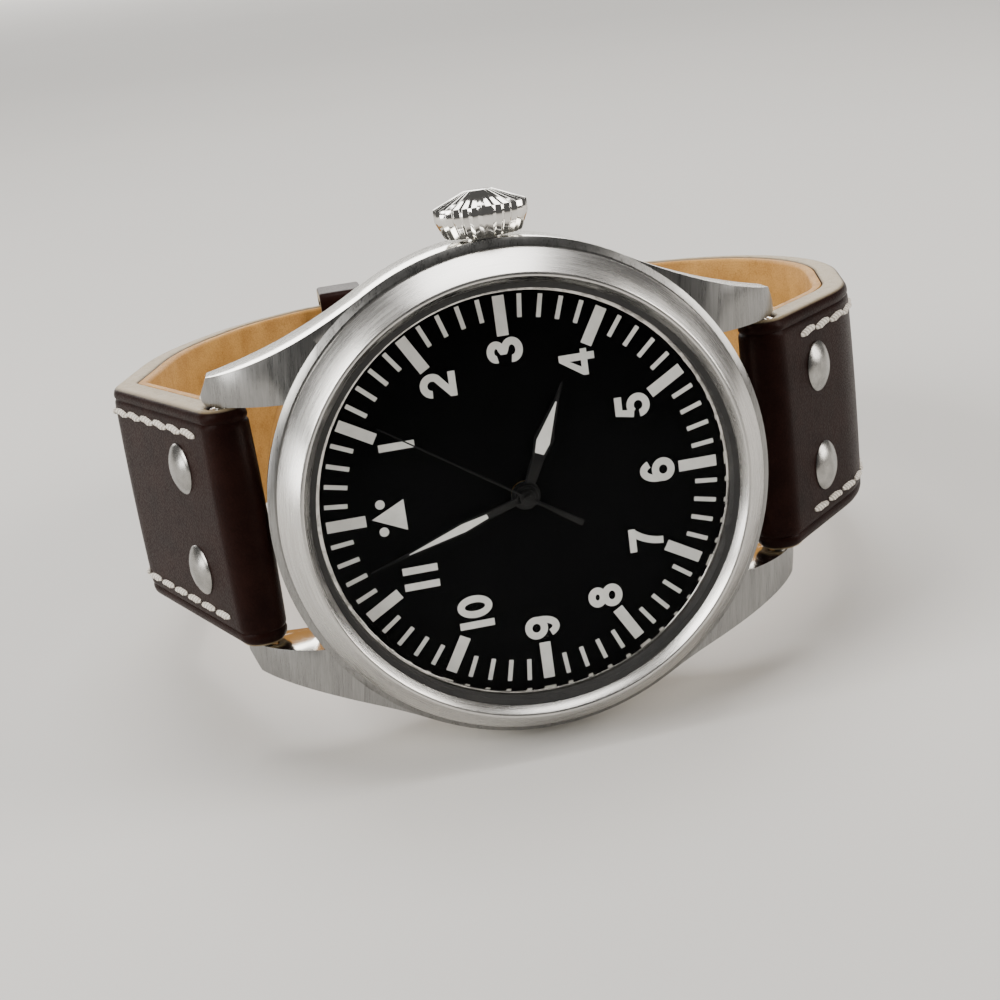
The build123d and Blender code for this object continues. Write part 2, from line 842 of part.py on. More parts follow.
# Case back: a stepped screw-down plate with notches for the opening tool, and its gasket
with BuildPart() as case_back:
    with BuildSketch(section):
        Polygon(
            (0, case_back_level_outer),
            (case_back_step_radius, case_back_level_outer),
            (case_back_radius, case_back_rim_level),
            (case_back_radius, case_back_level),
            (case_back_plug_radius, case_back_level),
            (case_back_plug_radius, case_back_plug_level),
            (case_back_inner_radius, case_back_plug_level),
            (case_back_inner_radius, case_back_inner_level),
            (0, case_back_inner_level),
            align=None,
        )
    revolve(axis=dial_axis)
    with BuildSketch(face.offset(case_back_level_outer - overrun)):
        with PolarLocations(case_back_radius, case_back_notch_count):
            Rectangle(2 * case_back_notch_depth, case_back_notch_width)
    extrude(
        amount=case_back_level - case_back_level_outer + overrun - play / 2, mode=Mode.SUBTRACT
    )

with BuildPart() as case_back_gasket:
    add(
        disc(
            centre,
            case_back_plug_radius,
            case_back_plug_level,
            back_bore_level,
            case_bore_radius + run_gap,
        )
    )

# Movement ring, with a slot for the stem
with BuildPart() as movement_ring:
    add(disc(centre, dial_radius, case_back_plug_level, -dial_thickness, movement_radius))
    with BuildSketch(Plane(crown_axis.position, x_dir=to_twelve, z_dir=to_three)):
        Circle(stem_clear_radius)
    extrude(amount=case_radius, mode=Mode.SUBTRACT)


def along_crown(steps, bore_steps=()):
    # A turned piece on the crown's axis from (v, radius) steps, less a bore of the same form
    with BuildSketch(section) as outline:
        points = [(steps[0][0], crown_level)]
        for reach, radius in steps:
            points.append((reach, crown_level + radius))
        points.append((steps[-1][0], crown_level))
        Polygon(*points, align=None)
        if bore_steps:
            points = [(bore_steps[0][0], crown_level)]
            for reach, radius in bore_steps:
                points.append((reach, crown_level + radius))
            points.append((bore_steps[-1][0], crown_level))
            Polygon(*points, align=None, mode=Mode.SUBTRACT)
    return revolve(outline.sketch, axis=crown_axis, mode=Mode.PRIVATE)


# Crown: two fluted cones back to back with a fluted girdle, and a blind bore over the tube
def crown_section(reach, radius):
    depth = crown_flute_depth * radius / crown_girdle_radius
    with BuildSketch(Plane(place(reach, 0, crown_level), x_dir=to_twelve, z_dir=to_three)) as outline:
        points = []
        for number in range(2 * crown_flutes):
            turn = radians(180 * number / crown_flutes)
            distance = radius - depth * (number % 2)
            points.append((distance * cos(turn), distance * sin(turn)))
        Polygon(*points, align=None)
    return outline.sketch


with BuildPart() as crown:
    crown_steps = (
        (crown_base, crown_base_radius),
        (crown_girdle_near, crown_girdle_radius),
        (crown_girdle_far, crown_girdle_radius),
        (crown_apex, crown_apex_radius),
    )
    for near, far in zip(crown_steps, crown_steps[1:]):
        add(loft([crown_section(*near), crown_section(*far)], ruled=True, mode=Mode.PRIVATE))
    add(
        along_crown(((crown_base - overrun, crown_bore_radius), (crown_bore_end, crown_bore_radius))),
        mode=Mode.SUBTRACT,
    )

with BuildPart() as crown_gasket:
    add(
        along_crown(
            ((crown_gasket_near, crown_bore_radius), (crown_gasket_far, crown_bore_radius)),
            (
                (crown_gasket_near, tube_radius + run_gap),
                (crown_gasket_far, tube_radius + run_gap),
            ),
        )
    )

with BuildPart() as crown_tube:
    add(
        along_crown(
            ((tube_inner_end, tube_radius), (tube_outer_end, tube_radius)),
            ((tube_inner_end, tube_bore_radius), (tube_outer_end, tube_bore_radius)),
        )
    )

with BuildPart() as winding_stem:
    add(
        along_crown(
            (
                (stem_inner_end, stem_square_radius),
                (stem_shoulder, stem_square_radius),
                (stem_shoulder, stem_radius),
                (crown_bore_end, stem_radius),
            )
        )
    )

with BuildPart() as winding_pinion:
    add(
        along_crown(
            (
                (winding_pinion_near, winding_pinion_radius),
                (winding_pinion_far, winding_pinion_radius),
            ),
            (
                (winding_pinion_near, stem_square_radius + run_gap),
                (winding_pinion_far, stem_square_radius + run_gap),
            ),
        )
    )

with BuildPart() as sliding_pinion:
    add(
        along_crown(
            (
                (sliding_pinion_near, sliding_pinion_radius),
                (sliding_groove_near, sliding_pinion_radius),
                (sliding_groove_near, sliding_groove_radius),
                (sliding_groove_far, sliding_groove_radius),
                (sliding_groove_far, sliding_pinion_radius),
                (sliding_pinion_far, sliding_pinion_radius),
            ),
            (
                (sliding_pinion_near, stem_square_radius + run_gap),
                (sliding_pinion_far, stem_square_radius + run_gap),
            ),
        )
    )


# Movement: the plate and bridges, their pillars, jewels and screws
def keyless_room():
    # Clear space around the stem and its two pinions
    near = along_crown(
        ((keyless_start, keyless_radius), (movement_radius + overrun, keyless_radius))
    )
    far = along_crown(
        (
            (winding_room_start, winding_room_radius),
            (movement_radius + overrun, winding_room_radius),
        )
    )
    return near + far


click_at = shifted(barrel_at, click_pivot_reach, click_pivot_direction)
hairspring_outer_radius = hairspring_inner_radius + hairspring_pitch * hairspring_turns
stud_at = shifted(balance_at, hairspring_outer_radius, cock_direction)
barrel_pillars = ((10.6, 4.6), (9.5, -5.5), (1.9, 11.4))
train_pillars = ((-4.5, 10.2), (-10.8, 2.5), (-8.6, -4.4))
pallet_pillar = shifted(pallet_at, pallet_bridge_reach, pallet_bridge_direction)
cock_foot = shifted(balance_at, cock_reach, cock_direction)
plate_jewels = (great_at, third_at, escape_at, pallet_at, balance_at)
train_jewels = (great_at, third_at, escape_at, centre)
jewel_floor = plate_under_level + jewel_thickness
jewel_ceiling = bridge_near_level - jewel_thickness

with BuildPart() as main_plate:
    add(disc(centre, movement_radius, plate_under_level, -dial_thickness))
    add(disc(centre, plate_recess_radius, plate_recess_level, -dial_thickness + overrun),
        mode=Mode.SUBTRACT)
    add(keyless_room(), mode=Mode.SUBTRACT)
    for point in plate_jewels:
        add(disc(point, jewel_radius, plate_under_level - overrun, jewel_floor), mode=Mode.SUBTRACT)
    add(
        disc(third_at, arbor_radius + run_gap, plate_under_level, plate_recess_level + overrun),
        mode=Mode.SUBTRACT,
    )
    add(
        disc(barrel_at, barrel_pivot_radius + run_gap, plate_under_level - overrun, jewel_floor),
        mode=Mode.SUBTRACT,
    )
    add(disc(centre, centre_tube_radius, plate_under_level, centre_tube_level))
    add(
        disc(centre, centre_tube_bore, plate_under_level - overrun, centre_tube_level + overrun),
        mode=Mode.SUBTRACT,
    )
    add(disc(minute_at, post_radius, plate_recess_level, minute_post_level))
    add(disc(setting_at, post_radius, plate_recess_level, setting_post_level))


def bridge_blank(points):
    # A bridge cut from the round of the movement, clear of the balance
    blank = slab(points, bridge_far_level, bridge_near_level)
    blank = blank & disc(centre, movement_radius, bridge_far_level, bridge_near_level)
    swept = disc(
        balance_at,
        balance_clear_radius,
        bridge_far_level - overrun,
        bridge_near_level + overrun,
    )
    return blank - swept


with BuildPart() as barrel_bridge:
    edge = bridge_split + bridge_split_gap / 2
    add(
        bridge_blank(
            (
                (edge, -barrel_bridge_reach),
                (movement_radius, -barrel_bridge_reach),
                (movement_radius, movement_radius),
                (edge, movement_radius),
            )
        )
    )
    for point in barrel_pillars:
        add(disc(point, pillar_radius, bridge_near_level, plate_under_level))
        add(
            disc(point, screw_shank_radius, bridge_far_level, screw_end_level),
            mode=Mode.SUBTRACT,
        )
    add(keyless_room(), mode=Mode.SUBTRACT)
    add(
        disc(
            barrel_at,
            barrel_arbor_radius + run_gap,
            bridge_far_level - overrun,
            bridge_near_level + overrun,
        ),
        mode=Mode.SUBTRACT,
    )
    add(disc(crown_wheel_at, hub_radius, bridge_far_level, wheel_post_level))
    add(disc(click_at, click_pin_radius, bridge_far_level, wheel_post_level))

with BuildPart() as train_bridge:
    edge = bridge_split - bridge_split_gap / 2
    add(
        bridge_blank(
            (
                (edge, -train_bridge_reach),
                (edge, movement_radius),
                (-movement_radius, movement_radius),
                (-movement_radius, -train_bridge_reach),
            )
        )
    )
    for point in train_pillars:
        add(disc(point, pillar_radius, bridge_near_level, plate_under_level))
        add(
            disc(point, screw_shank_radius, bridge_far_level, screw_end_level),
            mode=Mode.SUBTRACT,
        )
    for point in train_jewels:
        add(
            disc(point, jewel_radius, jewel_ceiling, bridge_near_level + overrun),
            mode=Mode.SUBTRACT,
        )


def link(start, end, half_width, near, far):
    # A flat bar with round ends between two points
    turn = heading(start, end)
    bar = slab(
        (
            shifted(start, half_width, turn + 90),
            shifted(start, half_width, turn - 90),
            shifted(end, half_width, turn - 90),
            shifted(end, half_width, turn + 90),
        ),
        near,
        far,
    )
    return bar + disc(start, half_width, near, far) + disc(end, half_width, near, far)


with BuildPart() as pallet_bridge:
    pallet_bridge_far = pallet_bridge_level - pallet_bridge_height
    add(link(pallet_at, pallet_pillar, hub_radius, pallet_bridge_far, pallet_bridge_level))
    add(disc(pallet_pillar, hub_radius, pallet_bridge_level, plate_under_level))
    add(
        disc(
            pallet_at,
            pivot_radius + run_gap,
            pallet_bridge_far - overrun,
            pallet_bridge_level + overrun,
        ),
        mode=Mode.SUBTRACT,
    )

with BuildPart() as balance_cock:
    add(link(balance_at, cock_foot, cock_half_width, bridge_far_level, cock_level))
    add(disc(cock_foot, cock_half_width, cock_level, plate_under_level))
    add(
        disc(balance_at, jewel_radius, cock_level - jewel_thickness, cock_level + overrun),
        mode=Mode.SUBTRACT,
    )
    add(disc(cock_foot, screw_shank_radius, bridge_far_level, screw_end_level), mode=Mode.SUBTRACT)
    add(disc(stud_at, stud_radius, cock_level, hairspring_level))

with BuildPart() as movement_screws:
    for point in (*barrel_pillars, *train_pillars, cock_foot):
        add(disc(point, screw_head_radius, bridge_far_level - screw_head_height, bridge_far_level))
        add(disc(point, screw_shank_radius, bridge_far_level, screw_end_level))
        with BuildSketch(face.offset(bridge_far_level - screw_head_height - overrun)):
            with Locations(point):
                Rectangle(2 * screw_head_radius + play, screw_slot_width)
        extrude(amount=overrun + screw_head_height / 2, mode=Mode.SUBTRACT)

with BuildPart() as jewels:
    for point in plate_jewels:
        add(disc(point, jewel_radius, plate_under_level, jewel_floor, pivot_radius + run_gap))
    for point in train_jewels:
        add(disc(point, jewel_radius, jewel_ceiling, bridge_near_level, pivot_radius + run_gap))
    add(
        disc(
            balance_at,
            jewel_radius,
            cock_level - jewel_thickness,
            cock_level,
            pivot_radius + run_gap,
        )
    )

# Barrel: a toothed drum with a lid, the coiled mainspring and the arbor through it
with BuildPart() as barrel:
    add(
        gear(
            barrel_at, barrel_teeth, barrel_module, barrel_phase,
            barrel_tooth_level - barrel_tooth_height, barrel_tooth_level,
        )
    )
    add(disc(barrel_at, barrel_drum_radius, barrel_drum_far_level, barrel_tooth_level))
    add(
        disc(
            barrel_at,
            barrel_drum_radius - barrel_wall,
            barrel_drum_far_level + barrel_wall,
            barrel_tooth_level - barrel_wall,
        ),
        mode=Mode.SUBTRACT,
    )
    add(
        disc(
            barrel_at,
            barrel_arbor_radius + run_gap,
            barrel_drum_far_level - overrun,
            barrel_tooth_level + overrun,
        ),
        mode=Mode.SUBTRACT,
    )


def spiral(point, inner, pitch, turns, width, near, far, phase=0):
    # A flat coil of even pitch that ends in the direction phase, drawn as one closed outline
    samples = turns * spiral_steps
    outside = []
    inside = []
    for step in range(samples + 1):
        radius = inner + pitch * step / spiral_steps
        angle = phase + 360 * step / spiral_steps
        outside.append(shifted(point, radius + width / 2, angle))
        inside.append(shifted(point, radius - width / 2, angle))
    return slab((*outside, *reversed(inside)), near, far)


with BuildPart() as mainspring:
    add(
        spiral(
            barrel_at,
            mainspring_inner_radius,
            mainspring_pitch,
            mainspring_turns,
            mainspring_thickness,
            barrel_drum_far_level + barrel_wall + run_gap,
            barrel_tooth_level - barrel_wall - run_gap,
        )
    )

with BuildPart() as barrel_arbor:
    add(disc(barrel_at, barrel_arbor_radius, ratchet_far_level, barrel_tooth_level + run_gap))
    add(disc(barrel_at, barrel_pivot_radius, barrel_tooth_level, jewel_floor - run_gap))

with BuildPart() as ratchet_wheel:
    add(
        gear(
            barrel_at, ratchet_teeth, ratchet_module, ratchet_phase,
            ratchet_far_level, ratchet_near_level, barrel_arbor_radius,
        )
    )

with BuildPart() as crown_wheel:
    add(
        gear(
            crown_wheel_at, crown_wheel_teeth, ratchet_module, crown_wheel_phase,
            ratchet_far_level, ratchet_near_level, hub_radius + run_gap,
        )
    )

with BuildPart() as click:
    click_tip = shifted(barrel_at, click_tip_reach, click_tip_direction)
    add(disc(click_at, click_pivot_radius, ratchet_far_level, ratchet_near_level))
    add(link(click_at, click_tip, click_half_width, ratchet_far_level, ratchet_near_level))
    add(
        disc(
            click_at,
            click_pin_radius + run_gap,
            ratchet_far_level - overrun,
            ratchet_near_level + overrun,
        ),
        mode=Mode.SUBTRACT,
    )


def arbor(point, near, far):
    # A shaft with a thin pivot at each end, reaching into its jewels
    shaft = disc(point, arbor_radius, near - run_gap, far + run_gap)
    return shaft + disc(point, pivot_radius, near + pivot_length, far - pivot_length)


def wheel(point, teeth, module, phase, far):
    # A thin toothed wheel with four spokes
    blank = gear(point, teeth, module, phase, far, far + wheel_thickness)
    rim = teeth * module / 2 - rim_width
    return blank - windows(point, hub_radius, rim, far, far + wheel_thickness, 2, phase)


with BuildPart() as great_wheel:
    add(arbor(great_at, plate_under_level, bridge_near_level))
    add(
        gear(
            great_at, great_pinion_teeth, barrel_module, great_pinion_phase,
            barrel_tooth_level - barrel_tooth_height - pinion_side_gap,
            barrel_tooth_level + pinion_side_gap,
        )
    )
    add(wheel(great_at, great_wheel_teeth, great_module, great_wheel_phase, great_wheel_level))

with BuildPart() as third_wheel:
    add(arbor(third_at, plate_under_level, bridge_near_level))
    add(disc(third_at, arbor_radius, plate_under_level - run_gap, third_top_level))
    add(
        gear(
            third_at, third_pinion_teeth, great_module, third_pinion_phase,
            great_wheel_level - pinion_side_gap,
            great_wheel_level + wheel_thickness + pinion_side_gap,
        )
    )
    add(wheel(third_at, third_wheel_teeth, third_module, third_wheel_phase, third_wheel_level))
    add(
        gear(
            third_at, third_pinion_teeth, driving_module, third_pinion_phase,
            plate_recess_level + run_gap, third_top_level,
        )
    )

with BuildPart() as seconds_wheel:
    add(disc(centre, arbor_radius, bridge_near_level + run_gap, second_hand_level))
    add(disc(centre, pivot_radius, bridge_near_level - pivot_length, bridge_near_level + run_gap))
    add(
        gear(
            centre, second_pinion_teeth, third_module, second_pinion_phase,
            third_wheel_level - pinion_side_gap,
            third_wheel_level + wheel_thickness + pinion_side_gap,
        )
    )
    add(
        wheel(centre, second_wheel_teeth, second_module, second_wheel_phase, second_wheel_level)
    )

with BuildPart() as escape_wheel:
    add(arbor(escape_at, plate_under_level, bridge_near_level))
    add(
        gear(
            escape_at, escape_pinion_teeth, second_module, escape_pinion_phase,
            second_wheel_level - pinion_side_gap,
            second_wheel_level + wheel_thickness + pinion_side_gap,
        )
    )
    points = []
    for tooth in range(escape_teeth):
        turn = tooth * 360 / escape_teeth
        points.append(shifted(escape_at, escape_root_radius, turn))
        points.append(shifted(escape_at, escape_radius, turn + escape_lean))
        points.append(shifted(escape_at, escape_root_radius, turn + escape_lean))
    rim = slab(points, escape_wheel_level, escape_wheel_level + wheel_thickness)
    rim = rim - windows(
        escape_at,
        hub_radius,
        escape_root_radius - escape_rim_width,
        escape_wheel_level,
        escape_wheel_level + wheel_thickness,
        2,
    )
    add(rim)

with BuildPart() as pallet_fork:
    far = escape_wheel_level
    near = escape_wheel_level + wheel_thickness
    back_to_wheel = pallet_direction + 180
    add(disc(pallet_at, arbor_radius, pallet_bridge_level + run_gap, plate_under_level - run_gap))
    add(
        disc(
            pallet_at,
            pivot_radius,
            pallet_bridge_level - pallet_bridge_height,
            plate_under_level + pivot_length,
        )
    )
    for turn in (back_to_wheel - pallet_arm_angle, back_to_wheel + pallet_arm_angle):
        tip = shifted(pallet_at, pallet_arm_reach, turn)
        add(link(pallet_at, tip, pallet_arm_width / 2, far, near))
    fork_end = shifted(pallet_at, pallet_fork_reach, balance_direction)
    add(link(pallet_at, fork_end, pallet_arm_width / 2, far, near))

# Balance: a rim with timing screws on one straight arm, and the roller under it
with BuildPart() as balance_wheel:
    far = balance_level
    near = balance_level + balance_thickness
    add(arbor(balance_at, plate_under_level, cock_level))
    add(disc(balance_at, balance_radius, far, near))
    inner = balance_radius - balance_rim_width
    add(windows(balance_at, hub_radius, inner, far, near, 1), mode=Mode.SUBTRACT)
    add(disc(balance_at, hub_radius, far, near))
    add(disc(balance_at, roller_radius, roller_far_level, roller_near_level))
    add(disc(balance_at, arbor_radius, cock_level + run_gap, plate_under_level - run_gap))

with BuildPart() as hairspring:
    add(
        spiral(
            balance_at,
            hairspring_inner_radius,
            hairspring_pitch,
            hairspring_turns,
            hairspring_width,
            hairspring_level,
            hairspring_level + hairspring_height,
            cock_direction,
        )
    )

# Motion work: the wheels that carry the minute and hour hands
with BuildPart() as cannon_pinion:
    add(disc(centre, cannon_radius, driving_wheel_level, minute_hand_level))
    add(
        gear(
            centre, cannon_teeth, cannon_module, cannon_phase,
            cannon_tooth_level, minute_wheel_level + motion_thickness + pinion_side_gap,
        )
    )
    add(
        gear(
            centre, driving_wheel_teeth, driving_module, driving_phase,
            driving_wheel_level, driving_wheel_level + motion_thickness,
        )
    )
    add(
        disc(
            centre,
            centre_tube_radius + run_gap,
            driving_wheel_level - overrun,
            minute_hand_level + overrun,
        ),
        mode=Mode.SUBTRACT,
    )

with BuildPart() as minute_wheel:
    far = minute_wheel_level
    add(
        gear(
            minute_at, minute_wheel_teeth, cannon_module, minute_wheel_phase,
            far, far + motion_thickness, post_radius + run_gap,
        )
    )
    add(
        gear(
            minute_at, minute_pinion_teeth, hour_module, minute_pinion_phase,
            far + motion_thickness, minute_post_level, post_radius + run_gap,
        )
    )

with BuildPart() as hour_wheel:
    far = hour_wheel_level
    add(
        gear(
            centre, hour_wheel_teeth, hour_module, hour_wheel_phase, far, far + motion_thickness
        )
    )
    add(disc(centre, hour_tube_radius, far, hour_hand_level))
    add(
        disc(centre, cannon_radius + run_gap, far - overrun, hour_hand_level + overrun),
        mode=Mode.SUBTRACT,
    )

with BuildPart() as setting_wheel:
    far = minute_wheel_level
    add(
        gear(
            setting_at, setting_wheel_teeth, cannon_module, setting_phase,
            far, far + motion_thickness, post_radius + run_gap,
        )
    )


def hand_outline(steps, angle):
    # Outline of a hand from (distance, half width) steps, at a clockwise angle from twelve
    turn = 90 - angle
    left = [shifted(polar(reach, turn), half, turn + 90) for reach, half in steps]
    right = [shifted(polar(reach, turn), half, turn - 90) for reach, half in steps]
    return (*left, *reversed(right))


# Hands, with windows for the white filling in the hour and minute hands
with BuildPart() as hour_hand:
    far = hour_hand_level
    near = hour_hand_level + hand_thickness
    add(disc(centre, hour_hub_radius, far, near))
    add(slab(hand_outline(hour_hand_steps, hour_hand_angle), far, near))
    add(
        slab(hand_outline(hour_fill_steps, hour_hand_angle), far - overrun, near + overrun),
        mode=Mode.SUBTRACT,
    )
    add(disc(centre, cannon_radius + run_gap, far - overrun, near + overrun), mode=Mode.SUBTRACT)

with BuildPart() as hour_fill:
    add(
        slab(
            hand_outline(hour_fill_steps, hour_hand_angle),
            hour_hand_level,
            hour_hand_level + hand_thickness,
        )
    )

with BuildPart() as minute_hand:
    far = minute_hand_level
    near = minute_hand_level + hand_thickness
    add(disc(centre, minute_hub_radius, far, near))
    add(slab(hand_outline(minute_hand_steps, minute_hand_angle), far, near))
    add(
        slab(hand_outline(minute_fill_steps, minute_hand_angle), far - overrun, near + overrun),
        mode=Mode.SUBTRACT,
    )
    add(
        disc(centre, centre_tube_radius + run_gap, far - overrun, near + overrun),
        mode=Mode.SUBTRACT,
    )

with BuildPart() as minute_fill:
    add(
        slab(
            hand_outline(minute_fill_steps, minute_hand_angle),
            minute_hand_level,
            minute_hand_level + hand_thickness,
        )
    )

with BuildPart() as seconds_hand:
    far = second_hand_level
    near = second_hand_level + second_hand_thickness
    add(disc(centre, second_hub_radius, far, near))
    add(disc(centre, second_pin_radius, near, near + second_pin_height))
    add(slab(hand_outline(second_hand_steps, second_hand_angle), far, near))


def along_bar(steps, bore_steps, end):
    # A turned piece along v from (v, radius) steps, on the axis of one of the lug bars
    middle = place(0, *end)
    plane = Plane(origin=middle, x_dir=to_three, z_dir=to_twelve)
    with BuildSketch(plane) as outline:
        points = [(steps[0][0], 0), *steps, (steps[-1][0], 0)]
        Polygon(*points, align=None)
        if bore_steps:
            points = [(bore_steps[0][0], 0), *bore_steps, (bore_steps[-1][0], 0)]
            Polygon(*points, align=None, mode=Mode.SUBTRACT)
            points = [(-across, height) for across, height in points]
            Polygon(*points, align=None, mode=Mode.SUBTRACT)
    return revolve(outline.sketch, axis=Axis(middle, to_three), mode=Mode.PRIVATE)


bar_ends = ((spring_bar_reach, spring_bar_level), (-spring_bar_reach, spring_bar_level))

# Spring bars: two tubes in the lugs, and the four sprung tips that reach into the lug holes
with BuildPart() as spring_bars:
    for end in bar_ends:
        add(
            along_bar(
                ((-spring_bar_half, spring_bar_radius), (spring_bar_half, spring_bar_radius)),
                (
                    (spring_bar_bore_start, spring_bar_bore),
                    (spring_bar_half + overrun, spring_bar_bore),
                ),
                end,
            )
        )


def bar_tip(end, direction):
    # A tip with a shoulder, pointing to one side
    steps = (
        (direction * tip_inner_end, tip_shoulder_radius),
        (direction * tip_shoulder_end, tip_shoulder_radius),
        (direction * tip_shoulder_end, tip_radius),
        (direction * tip_outer_end, tip_radius),
    )
    return along_bar(steps, (), end)


with BuildPart() as bar_tip_12_crown:
    add(bar_tip(bar_ends[0], 1))
with BuildPart() as bar_tip_12_far:
    add(bar_tip(bar_ends[0], -1))
with BuildPart() as bar_tip_6_crown:
    add(bar_tip(bar_ends[1], 1))
with BuildPart() as bar_tip_6_far:
    add(bar_tip(bar_ends[1], -1))


# Strap bands: each is drawn in the side plane as straight runs joined by rounds
def tangent_start(roll, radius, bend, sense):
    # Where the outer face leaves the roll around a bar, on the way to its first bend
    reach = hypot(bend[0] - roll[0], bend[1] - roll[1])
    turn = heading(roll, bend) - sense * degrees(asin(radius / reach))
    return shifted(roll, radius, turn + sense * 90), turn


def inset(points, depths, sense):
    # The same runs moved inward, each by its own depth
    moved = []
    for index, depth in enumerate(depths):
        turn = heading(points[index], points[index + 1])
        moved.append((shifted(points[index], depth, turn - sense * 90), turn))
    first = moved[0][0]
    corners = [first]
    for one, two in zip(moved, moved[1:]):
        (x_one, y_one), turn_one = one
        (x_two, y_two), turn_two = two
        across = (x_two - x_one, y_two - y_one)
        step = (cos(radians(turn_one)), sin(radians(turn_one)))
        other = (cos(radians(turn_two)), sin(radians(turn_two)))
        reach = (across[0] * other[1] - across[1] * other[0]) / (
            step[0] * other[1] - step[1] * other[0]
        )
        corners.append((x_one + reach * step[0], y_one + reach * step[1]))
    turn = moved[-1][1]
    corners.append(shifted(points[-1], depths[-1], turn - sense * 90))
    return corners


def draw_run(points, radii):
    # Lines and rounds through the points, inside an open BuildLine
    last = points[0]
    for index, radius in enumerate(radii):
        before, corner, after = points[index : index + 3]
        middle = corner_centre(before, corner, after, radius)
        turn_in = heading(before, corner)
        turn_out = heading(corner, after)
        bend = abs((turn_out - turn_in + 180) % 360 - 180)
        length = radius * tan(radians(bend / 2))
        start = shifted(corner, -length, turn_in)
        end = shifted(corner, length, turn_out)
        top = shifted(middle, radius, heading(middle, corner))
        Line(last, start)
        ThreePointArc(start, top, end)
        last = end
    Line(last, points[-1])


def band(points, radii, near_depths, far_depths, sense, half):
    # A strap layer between two depths under the outer face
    near_points = inset(points, near_depths, sense)
    far_points = inset(points, far_depths, sense)
    near_radii = []
    far_radii = []
    for index, radius in enumerate(radii):
        near_radii.append(radius - (near_depths[index] + near_depths[index + 1]) / 2)
        far_radii.append(radius - (far_depths[index] + far_depths[index + 1]) / 2)
    with BuildSketch(side.offset(-half)) as outline:
        with BuildLine():
            draw_run(near_points, near_radii)
            Line(near_points[-1], far_points[-1])
            draw_run(list(reversed(far_points)), list(reversed(far_radii)))
            Line(far_points[0], near_points[0])
        make_face()
    return extrude(outline.sketch, amount=2 * half, mode=Mode.PRIVATE)


def cylinder_across(point, radius, half):
    # A round bar along v through a point of the side plane
    with BuildSketch(side.offset(-half)) as outline:
        with Locations(point):
            Circle(radius)
    return extrude(outline.sketch, amount=2 * half, mode=Mode.PRIVATE)


def box_across(low, high, half):
    # A block along v over a rectangle of the side plane
    with BuildSketch(side.offset(-half)) as outline:
        Polygon(low, (high[0], low[1]), high, (low[0], high[1]), align=None)
    return extrude(outline.sketch, amount=2 * half, mode=Mode.PRIVATE)


buckle_at = (buckle_bar_reach, buckle_bar_level)
short_start, short_turn = tangent_start(bar_ends[0], roll_radius, short_strap_bends[0], 1)
long_start, long_turn = tangent_start(bar_ends[1], roll_radius, long_strap_bends[0], -1)
back_outer_level = short_strap_bends[-1][1]
short_line = (short_start, *short_strap_bends, (buckle_bar_reach, back_outer_level))
long_line = (long_start, *long_strap_bends, (tail_end, long_strap_bends[-1][1]))
short_none = [0] * len(short_strap_thicknesses)
long_none = [0] * len(long_strap_thicknesses)
short_split = [depth - lining_thickness for depth in short_strap_thicknesses]
long_split = [depth - lining_thickness for depth in long_strap_thicknesses]


def rivet_at(start, turn, reach, sense):
    # Foot of a rivet on the outer face, with the direction out of the strap
    foot = shifted(start, reach, turn)
    return foot, turn + sense * 90


rivet_feet = (
    rivet_at(short_start, short_turn, short_rivet_reach, 1),
    rivet_at(long_start, long_turn, long_rivet_reach, -1),
)


def rivet_plane(foot, out, across):
    # Plane on the outer face of the strap, with its normal out of the strap
    start = place(across, *foot)
    end = place(across, *shifted(foot, 1, out))
    return Plane(origin=start, x_dir=to_three, z_dir=end - start)


def rivet_shanks(depth):
    shanks = []
    for foot, out in rivet_feet:
        for across in (-rivet_offset, rivet_offset):
            with BuildSketch(rivet_plane(foot, out, across)) as outline:
                Circle(rivet_shank_radius)
            shanks.append(extrude(outline.sketch, amount=-depth, mode=Mode.PRIVATE))
    return shanks


def strap_holes():
    # Plain holes along the slanted run, measured from the one that the tongue goes through
    corner = long_strap_bends[-1]
    turn = heading(corner, long_strap_bends[-2])
    cuts = []
    for number in range(hole_count):
        reach = (number + 1) * hole_pitch - abs(tongue_hole_reach - corner[0])
        middle = place(0, *shifted(corner, reach, turn))
        normal = place(0, *shifted(corner, reach, turn - 90)) - place(
            0, *shifted(corner, reach, turn + 90)
        )
        with BuildSketch(Plane(origin=middle, x_dir=to_three, z_dir=normal)) as outline:
            Circle(hole_radius)
        cuts.append(extrude(outline.sketch, amount=strap_cut, both=True, mode=Mode.PRIVATE))
    with BuildSketch(face.offset(long_strap_bends[-1][1] - strap_cut)) as outline:
        with Locations((0, tongue_hole_reach)):
            SlotOverall(tongue_hole_length, tongue_hole_width, rotation=90)
    cuts.append(extrude(outline.sketch, amount=2 * strap_cut, mode=Mode.PRIVATE))
    return cuts


def tail_corners():
    # Waste cut from both sides of the tail to leave a blunt point
    waste = []
    for across in (-1, 1):
        with BuildSketch(face.offset(long_strap_bends[-1][1] - overrun)) as outline:
            Polygon(
                (across * (strap_half_width + overrun), tail_end - tail_point),
                (across * strap_half_width, tail_end - tail_point),
                (across * tail_point_half, tail_end + overrun / 2),
                (across * (strap_half_width + overrun), tail_end + overrun),
                align=None,
            )
        waste.append(extrude(outline.sketch, amount=strap_cut, mode=Mode.PRIVATE))
    return waste


